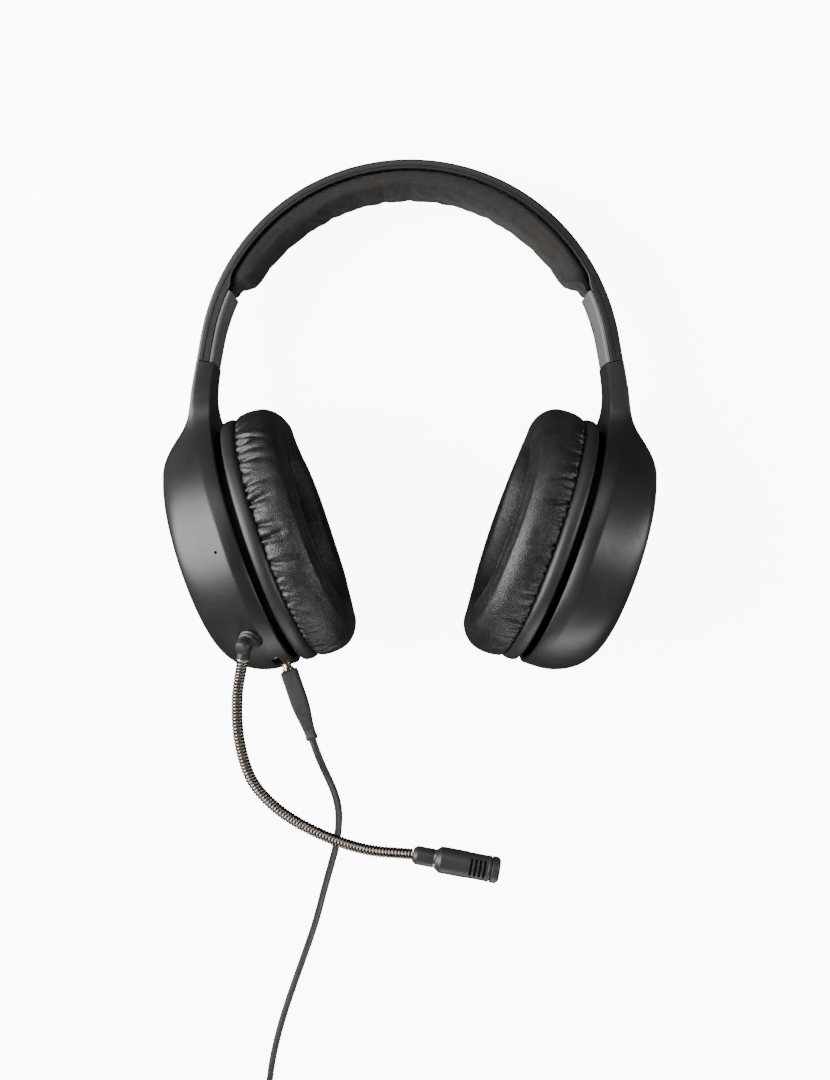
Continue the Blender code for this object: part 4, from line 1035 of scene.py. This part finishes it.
def make_pad():
    """The padded strip under the crown: inflated by cloth, then creased where its foam bends."""
    reaches = steps_between(-PAD_REACH + 0.4, PAD_REACH - 0.4, PAD_STEPS)
    sections = [periodic(pad_outline(reach), PAD_ROWS) for reach in reaches]
    grid = np.zeros((len(reaches), PAD_ROWS, 3))
    for i, (reach, section) in enumerate(zip(reaches, sections)):
        for j, (depth, across) in enumerate(section):
            place = band_point(reach, depth)
            grid[i, j] = (place.x, place.y, across)
    held = [j for j in range(PAD_ROWS) if sections[0][j][0] < PAD_TOP + 1.0]
    grid = creased(inflated(grid, held, False, 0.8, 0.7), reaches)
    rings = [[Vector(point) for point in ring] for ring in grid]
    first, last = ([pad_nose(ring, side * PAD_REACH, share) for share in PAD_NOSE]
                   for ring, side in ((rings[0], -1.0), (rings[-1], 1.0)))
    pad = piece("band_padding", skin([*first[::-1], *rings, *last]), "pad", "headband",
                stands_for=("headband_pad",), sharp_deg=70.0)


# ---------------------------------------------------------------- cloth

def grid_faces(rows, columns, ring):
    faces = []
    for i in range(rows if ring else rows - 1):
        for j in range(columns):
            k, m = (i + 1) % rows, (j + 1) % columns
            faces.append((i * columns + j, i * columns + m, k * columns + m, k * columns + j))
    return faces


def inflated(grid, held, ring, pressure, most):
    """Swells a tube of cloth, in millimetres: held columns stay, and no point moves over most."""
    rows, columns = grid.shape[:2]
    mesh = bpy.data.meshes.new("cloth")
    mesh.from_pydata((grid.reshape(-1, 3) * MM * CLOTH_SCALE).tolist(), [],
                     grid_faces(rows, columns, ring))
    cloth = bpy.data.objects.new("cloth", mesh)
    bpy.context.collection.objects.link(cloth)
    pins = cloth.vertex_groups.new(name="held")
    fixed = [i * columns + j for i in range(rows) for j in held]
    if not ring:
        fixed += [i * columns + j for i in (0, 1, rows - 2, rows - 1) for j in range(columns)]
    pins.add(fixed, 1.0, "REPLACE")
    settings = cloth.modifiers.new("Cloth", "CLOTH").settings
    settings.vertex_group_mass = "held"
    settings.quality = 8
    settings.mass = 0.3
    settings.tension_stiffness = 12.0
    settings.compression_stiffness = 12.0
    settings.bending_stiffness = 0.6
    settings.use_pressure = True
    settings.uniform_pressure_force = pressure
    settings.effector_weights.gravity = 0.0
    scene = bpy.context.scene
    for number in range(1, CLOTH_FRAMES + 1):
        scene.frame_set(number)
    result = cloth.evaluated_get(bpy.context.evaluated_depsgraph_get()).to_mesh()
    moved = np.array([vertex.co for vertex in result.vertices], float) / (MM * CLOTH_SCALE)
    bpy.data.objects.remove(cloth, do_unlink=True)
    scene.frame_set(1)
    offset = moved.reshape(grid.shape) - grid
    length = np.linalg.norm(offset, axis=2, keepdims=True)
    return grid + offset * np.minimum(1.0, most / np.maximum(length, 1e-6))


# ---------------------------------------------------------------- ear cushions

def cushion_grid():
    section = periodic(CUSHION_SHAPE, CUSHION_ROWS)
    grid = np.zeros((CUSHION_AROUND, CUSHION_ROWS, 3))
    for i in range(CUSHION_AROUND):
        angle = 2.0 * math.pi * i / CUSHION_AROUND
        for j, (height, out) in enumerate(section):
            grid[i, j] = (CUSHION_BASE + height, (CUSHION_A + out) * math.cos(angle),
                          (CUSHION_B + out) * math.sin(angle))
    held = [j for j in range(CUSHION_ROWS) if section[j][0] < 0.8]
    return grid, held


def refined(grid, times):
    """Smoothly adds points to a grid that is closed both ways."""
    rows, columns = grid.shape[:2]
    across = np.stack([periodic(line, columns * times) for line in grid])
    return np.stack([periodic(across[:, j], rows * times) for j in range(columns * times)], axis=1)


def grid_normals(grid):
    along = np.roll(grid, -1, 0) - np.roll(grid, 1, 0)
    over = np.roll(grid, -1, 1) - np.roll(grid, 1, 1)
    normal = np.cross(over, along)
    return normal / np.maximum(np.linalg.norm(normal, axis=2, keepdims=True), 1e-9)


def make_gathers(seed):
    """Random gathers round the outer seam: (place, width, depth, reach up the side, slant)."""
    draw = random.Random(seed)
    places, at = [], 0.0
    while at < 1.0 - 0.4 / GATHERS:
        places.append(at)
        at += draw.uniform(0.55, 1.5) / GATHERS
    gathers = []
    for place in places:
        strong = draw.random() < 0.4
        depth = draw.uniform(1.3, 2.1) if strong else draw.uniform(0.6, 1.2)
        reach = draw.uniform(11.0, 16.0) if strong else draw.uniform(5.0, 11.0)
        gathers.append((place, draw.uniform(0.5, 0.85), depth, reach, draw.uniform(-0.15, 0.4)))
    return gathers


def gather_depth(along, up, gathers, perimeter):
    """How far in the cover lies, at arrays of lengths along the seam and up the side."""
    depth = np.zeros_like(along)
    for place, width, deep, reach, slant in gathers:
        spread = width * (1.0 + up / 9.0)
        offset = along - place * perimeter - slant * up
        offset = (offset + perimeter / 2.0) % perimeter - perimeter / 2.0
        fade = np.clip(1.0 - up / reach, 0.0, 1.0)
        crease = np.exp(-np.abs(offset / spread) ** 1.6)
        shoulder = np.exp(-((np.abs(offset) - 1.9 * spread) / (1.3 * spread)) ** 2)
        depth += fade * deep * (crease - 0.3 * shoulder)
    return depth


def puckers(along, up, seed):
    """Fine uneven ripples close to the seam."""
    draw = random.Random(seed)
    total = np.zeros_like(along)
    for _ in range(9):
        wave, phase, lean = draw.uniform(1.3, 3.4), draw.uniform(0.0, 6.3), draw.uniform(-0.8, 0.8)
        total += np.sin(2.0 * math.pi * (along + lean * up) / wave + phase)
    return 0.055 * total * np.exp(-up / 3.2)


def soft_dents(grid, seed):
    """Broad, slight unevenness of the foam under its cover."""
    draw = random.Random(seed)
    total = np.zeros(grid.shape[:2])
    for _ in range(7):
        way = np.array([draw.uniform(-1.0, 1.0) for _ in range(3)])
        way *= 2.0 * math.pi / draw.uniform(18.0, 42.0) / np.linalg.norm(way)
        total += np.sin(grid @ way + draw.uniform(0.0, 6.3))
    return 0.045 * total


def seam_lengths(fine):
    """Arrays of the length round the ring and up from the seam, and the ring's perimeter."""
    steps = np.linalg.norm(np.roll(fine, -1, 1) - fine, axis=2)
    up = np.cumsum(steps, axis=1) - steps
    ring_steps = np.linalg.norm(np.roll(fine, -1, 0) - fine, axis=2)[:, CUSHION_ROWS // 2]
    along = np.repeat((np.cumsum(ring_steps) - ring_steps)[:, None], up.shape[1], axis=1)
    return along, up, ring_steps.sum()


def cover_depth(along, up, perimeter, number):
    """Gathers and puckers together, faded out up the side and eased at the seam itself."""
    gathers = make_gathers(GATHER_SEED + number)
    depth = gather_depth(along, up, gathers, perimeter) - puckers(along, up, PUCKER_SEED + number)
    depth *= 1.0 - np.clip((up - SEAM_LENGTH + SEAM_FADE) / SEAM_FADE, 0.0, 1.0)
    return depth * np.clip(up / 0.9, 0.35, 1.0)


def make_cushions():
    grid, held = cushion_grid()
    fine = refined(inflated(grid, held, True, 1.2, 1.6), FINE)
    normal = grid_normals(fine)
    if (normal[:, :CUSHION_ROWS, 1] * fine[:, :CUSHION_ROWS, 1]).sum() < 0.0:
        normal = -normal
    along, up, perimeter = seam_lengths(fine)
    under = np.clip((up[:, -1:].mean() - up) / 3.0, 0.0, 1.0)
    for number, (side, mirrored) in enumerate(SIDES):
        depth = cover_depth(along, up, perimeter, number) * (RIGHT_GATHERS if mirrored else 1.0)
        dents = soft_dents(fine, DENT_SEED + number) * under
        shaped = fine + normal * (dents - depth)[:, :, None]
        rings = [[cup_matrix() @ Vector(point) for point in line] for line in shaped]
        cushion = piece(f"ear_pad_{side}", skin(rings, closed=True), "cushion", f"cup_{side}", mirrored,
                        (f"ear_cushion_{side}",), sharp_deg=80.0)


# ---------------------------------------------------------------- cups and arms

def in_cup(s, t, w):
    """A point of the cup frame in the design frame. The arm above the cup isn't toed."""
    toe = mixed(TOE_DEG, 0.0, eased(t, 44.0, 70.0))
    return cup_matrix(toe) @ Vector((s, t, w))


def housing_outline():
    """(t, w) points round the housing and arm, up one side from the foot and down the other."""
    flare = math.radians(FLARE_DEG)
    angles = steps_between(math.pi, flare, OUTLINE_FOOT)
    half = [(RIM_A * math.cos(angle), RIM_B * math.sin(angle)) for angle in angles]
    start = half[-1]
    rise, run = RIM_A * math.sin(flare), -RIM_B * math.cos(flare)
    reach = 15.0 / math.hypot(rise, run)
    controls = (start, (start[0] + rise * reach, start[1] + run * reach),
                (FLARE_TOP - 12.0, BAND_HALF_END + 0.1), (FLARE_TOP, BAND_HALF_END))
    half += [bezier(controls, i / OUTLINE_FLARE)[:2] for i in range(1, OUTLINE_FLARE + 1)]
    half += [(t, BAND_HALF_END) for t in steps_between(FLARE_TOP, ARM_TOP, OUTLINE_ARM)[1:]]
    half += [(ARM_TOP, BAND_HALF_END * share) for share in (0.95, 0.85, 0.7, 0.5, 0.25, 0.0)]
    return half + [(t, -w) for t, w in reversed(half[1:-1])]


def ridge_height(t, w):
    if t < RIDGE_LINE[0][0]:
        return RIDGE_S
    edge = eased(abs(w), BAND_HALF_END * 0.85, BAND_HALF_END)
    on_edge = mixed(along_table(ARM_FACE, t), along_table(RIDGE_LINE, t), edge)
    return mixed(along_table(RIDGE_LINE, t), on_edge, eased(t, 70.0, ARM_TOP))


def outer_point(t, w, u):
    """A point on the housing's outside, from the ridge at u = 0 to the outer disc's edge at u = 1."""
    angle = math.atan2(w / RIM_B, (t - DISC_T) / RIM_A)
    ridge = (ridge_height(t, w), t, w)
    disc_t = DISC_T + DISC_A * math.cos(angle)
    disc = (DISC_S + DISC_SLOPE * disc_t, disc_t, DISC_B * math.sin(angle))
    steep = (ridge[0] - 11.5, t, w * (1.0 - BOWL_LEAN))
    flat = (disc[0], mixed(disc[1], t, 0.55), mixed(disc[2], w, 0.55))
    bowl = bezier((ridge, steep, flat, disc), u)
    arm_t, arm_w = mixed(t, disc_t, u), mixed(w, disc[2], u)
    away = math.hypot(arm_t - t, arm_w - w)
    face = along_table(ARM_FACE, arm_t)
    start = along_table(ARM_FACE, t)
    arm_s = face + (ridge[0] - start) * math.exp(-away / 1.5)
    arm_like = eased(t, 44.0, 60.0)
    return tuple(mixed(a, b, arm_like) for a, b in zip(bowl, (arm_s, arm_t, arm_w)))


def inner_edge(t, w):
    low_t = t - ARM_SHIFT * eased(t, 52.0, ARM_TOP)
    back = along_table(ARM_BACK, low_t) if low_t > ARM_BACK[0][0] else RIM_S
    return (back, low_t, w * (1.0 - RIM_TAPER))


def disc_ring(share, behind):
    """The outer disc's outline, shrunk to a share of its size and set back from its face."""
    ring = []
    for t, w in housing_outline():
        _, disc_t, disc_w = outer_point(t, w, 1.0)
        near_t = mixed(DISC_T, disc_t, share)
        ring.append((DISC_S + DISC_SLOPE * near_t + behind, near_t, disc_w * share))
    return ring


def back_rings(outline):
    """From the rim's edge across the flat rim to the mouth of the cavity."""
    edges = [inner_edge(t, w) for t, w in outline]
    round_in = [(s, mixed(t, 0.0, 0.008), mixed(w, 0.0, 0.008)) for s, t, w in edges]
    round_out = [(s - 0.35, t, w) for s, t, w in edges]
    mouth = []
    for t, w in outline:
        angle = math.atan2(w / RIM_B, t / RIM_A)
        mouth.append((RIM_S, MOUTH_A * math.cos(angle), MOUTH_B * math.sin(angle)))
    rings = [round_out, round_in]
    for u in BACK_STEPS:
        ring = []
        for edge, target in zip(edges, mouth):
            t, w = mixed(edge[1], target[1], u), mixed(edge[2], target[2], u)
            ring.append((along_table(ARM_BACK, t) if t > ARM_BACK[0][0] else RIM_S, t, w))
        rings.append(ring)
    return rings + [mouth]


def cavity_rings(outline):
    angles = [math.atan2(w / RIM_B, t / RIM_A) for t, w in outline]
    rings = []
    for s, a, b, t0, slope in CAVITY:
        heights = [t0 + a * math.cos(angle) for angle in angles]
        rings.append([(s + slope * t, t, b * math.sin(angle)) for t, angle in zip(heights, angles)])
    return rings + [[(CAVITY[-1][0], 0.0, 0.0)]]


def band_ring(outline, u):
    """A ring on the flat band between the ridge at u = 0 and the rim's edge at u = 1."""
    ring = []
    for t, w in outline:
        ridge, edge = outer_point(t, w, 0.0), inner_edge(t, w)
        ring.append(tuple(mixed(a, b, u) for a, b in zip(ridge, edge)))
    return ring


def housing_rings():
    outline = housing_outline()
    rings = [[(DISC_S + DISC_SLOPE * DISC_T + RECESS_DEPTH, DISC_T, 0.0)], disc_ring(LIP, RECESS_DEPTH),
             disc_ring(LIP, 0.2), disc_ring(LIP + 0.004, 0.02), disc_ring(0.99, 0.0)]
    for u in BOWL_STEPS:
        rings.append([outer_point(t, w, u) for t, w in outline])
    rings += [band_ring(outline, u) for u in BAND_RINGS]
    rings += back_rings(outline) + cavity_rings(outline)
    return [[in_cup(*point) for point in ring] for ring in rings]


def cut_at_seam(bm):
    """Trims the arm square to the band's end, a gap below it."""
    end = band_point(-BAND_REACH, 0.0)
    down = (end - band_point(1.0 - BAND_REACH, 0.0)).normalized()
    parts = bm.verts[:] + bm.edges[:] + bm.faces[:]
    cut_edges = bmesh.ops.bisect_plane(bm, geom=parts, plane_co=end + down * SEAM_GAP, plane_no=-down,
                                       clear_outer=True)
    rim = [part for part in cut_edges["geom_cut"] if isinstance(part, bmesh.types.BMEdge)]
    bmesh.ops.contextual_create(bm, geom=rim)


def strip_pocket():
    lean = math.radians(90.0 - BAND_ARC_DEG)
    down = Vector((-math.sin(lean), -math.cos(lean), 0.0))
    turn = Matrix.Rotation(-lean, 4, "Z")
    return skin(block(band_point(-BAND_REACH, STRIP_DEPTH), STRIP_POCKET, turn))


def bore(radius, at, axis, back, sides):
    """A round cutter through the wall, from a way back behind its opening."""
    return skin(turned(((radius, 0.0), (radius, BORE_LENGTH)), at - axis * back, axis, sides))


def fitting_cutters():
    """The left housing's openings: microphone socket, cable socket, charging slot and pin hole."""
    turn = cup_matrix().to_3x3().to_4x4()
    return [bore(MIC_BORE, cup_point(*MIC_PORT), Vector(MIC_AXIS).normalized(), 8.0, 48),
            bore(CABLE_BORE, cup_point(*CABLE_PORT), cup_direction(0, -1, 0), 10.0, 32),
            skin(block(cup_point(*CHARGE_PORT), CHARGE_SLOT, turn)),
            bore(PIN_BORE, cup_point(*PIN_HOLE), cup_direction(*PIN_AXIS), 8.0, 20)]


def cap_rings():
    """The outer cap, from the middle of its back round its edge to the middle of its face."""
    share = LIP - SEAM_GAP / DISC_B
    middle = DISC_S + DISC_SLOPE * DISC_T
    rings = [[(middle + CAP_THICK, DISC_T, 0.0)], disc_ring(share, CAP_THICK)]
    rings += [disc_ring(share - lost, behind) for lost, behind in CAP_EDGE]
    rings += [disc_ring(part, behind) for part, behind in CAP_FACE]
    rings.append([(middle, DISC_T, 0.0)])
    return [[in_cup(*point) for point in ring] for ring in rings]


def make_housings():
    for side, mirrored in SIDES:
        solid = skin(housing_rings())
        cut_at_seam(solid)
        cuts = [strip_pocket()] + ([] if mirrored else fitting_cutters())
        piece(f"cup_housing_{side}", solid, "shell", f"arm_{side}", mirrored,
              (f"housing_{side}",), cuts, 24.0)
        piece(f"cup_cap_{side}", skin(cap_rings()), "cap", f"arm_{side}", mirrored,
              (f"outer_cap_{side}",), sharp_deg=25.0)


def oval_rings(profile, sides=180):
    """Rings of the cup frame from (s, half height, half depth) rows; a zero size is a tip."""
    rings = []
    for s, a, b in profile:
        if a == 0.0:
            rings.append([cup_point(s, 0.0, 0.0)])
            continue
        angles = [2.0 * math.pi * i / sides for i in range(sides)]
        rings.append([cup_point(s, a * math.cos(x), b * math.sin(x)) for x in angles])
    return rings


def make_inner_shells():
    """The floating ring between housing and cushion, softly rounded where it shows."""
    for side, mirrored in SIDES:
        piece(f"cup_ring_{side}", skin(oval_rings(CUP_RING)), "inner", f"cup_{side}", mirrored,
              (f"inner_shell_{side}",), sharp_deg=50.0)


# ---------------------------------------------------------------- microphone

def even_points(line, step):
    """Lengths along a line and the points there, close to a step apart."""
    lengths = [0.0]
    for before, after in zip(line, line[1:]):
        lengths.append(lengths[-1] + (after - before).length)
    even = np.linspace(0.0, lengths[-1], int(lengths[-1] / step) + 1)
    points = []
    for at in even:
        points.append(Vector(tuple(np.interp(at, lengths, [p[k] for p in line]) for k in range(3))))
    return even, points


def wound_rings(even, points):
    """Rings of a tube wound from one wire, and how near each of their points is to its crest."""
    rings, crests, wire = [], [], WIRE_PITCH / 2.0
    for at, (point, side, up) in zip(even, transported(points)):
        ring = []
        for k in range(WIRE_SIDES):
            turn = k / WIRE_SIDES
            phase = (at / WIRE_PITCH - turn) % 1.0 - 0.5
            crest = math.sqrt(max(wire**2 - (phase * WIRE_PITCH) ** 2, 0.0))
            radius = BOOM_R - wire + max(crest, 0.1 * wire)
            crests.append(crest / wire)
            angle = 2.0 * math.pi * turn
            ring.append(point + (side * math.cos(angle) + up * math.sin(angle)) * radius)
        rings.append(ring)
    return rings, crests


def make_gooseneck():
    """The wound boom, one tube along the boom's route."""
    even, points = even_points(smooth_curve(BOOM_ROUTE, 24), WIRE_PITCH / RINGS_PER_TURN)
    rings, crests = wound_rings(even, points)
    neck = plain_object("gooseneck", skin(rings))
    # The crest values paint shade into the grooves through the winding's colour.
    neck.data.attributes.new("crest", "FLOAT", "POINT").data.foreach_set("value", crests)
    neck.data.materials.append(LOOKS["gooseneck"])
    neck.data.shade_smooth()
    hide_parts("gooseneck_lower", "gooseneck_upper")
    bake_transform(neck)


def make_mic_plug():
    """The elbow in its socket, and the ferrule where the boom leaves it."""
    axis = Vector(MIC_AXIS).normalized()
    head = turned(rounded(ELBOW, 0.5), cup_point(*MIC_PORT), axis)
    piece("elbow_body", skin(head), "inner", "mic_plug", stands_for=("mic_plug_elbow",))
    start = Vector(BOOM_ROUTE[0])
    along = (Vector(BOOM_ROUTE[1]) - start).normalized()
    neck = turned(rounded(ELBOW_NECK, 0.4), start, along)
    piece("elbow_neck", skin(neck), "inner", "mic_plug")
    ferrule = turned(rounded(FERRULE, 0.12), start, along)
    piece("boom_ferrule", skin(ferrule), "steel", "mic_plug")


def make_capsule():
    """The microphone's collar, ring, slotted body with foam behind its slots, and end cap."""
    sag = math.radians(CAPSULE_SAG_DEG)
    along = Vector((math.cos(sag), -math.sin(sag), 0.0))
    start = Vector(BOOM_ROUTE[-1]) + along * COLLAR_AT
    collar = turned(rounded(COLLAR, 0.3), start, along)
    piece("capsule_collar", skin(collar), "capsule", "mic_tip", stands_for=("mic_collar",))
    piece("capsule_ring", skin(turned(CAPSULE_RING, start, along)), "steel", "mic_tip")
    body = start + along * CAPSULE_AT
    turn = Matrix.Rotation(-sag, 4, "Z")
    cuts = []
    for k in range(SLOTS):
        middle = body + along * (SLOT_FIRST + SLOT_PITCH * k)
        cuts.append(skin(block(middle, SLOT_SIZE, turn)))
    piece("capsule_body", skin(turned(rounded(CAPSULE, 0.25), body, along)), "capsule", "mic_tip",
          stands_for=("mic_capsule",), cuts=cuts)
    piece("capsule_mesh", skin(turned(CAPSULE_FOAM, body, along)), "scrim", "mic_tip")
    cap = turned(rounded(CAPSULE_CAP, 0.2), body, along)
    piece("capsule_cap", skin(cap), "capsule", "mic_tip", stands_for=("mic_end_cap",))


# ---------------------------------------------------------------- the CAD's own pieces

def dress_frame():
    """Gives every CAD node the material of its slot."""
    slots = {part["node"]: part["material_slot"] for part in frame["record"]["subparts"]}
    for name, node in frame["nodes"].items():
        node.data.materials.clear()
        node.data.materials.append(LOOKS[slots[name]])


make_band()
make_pad()
make_cushions()
make_housings()
make_inner_shells()
make_gooseneck()
make_mic_plug()
make_capsule()
dress_frame()
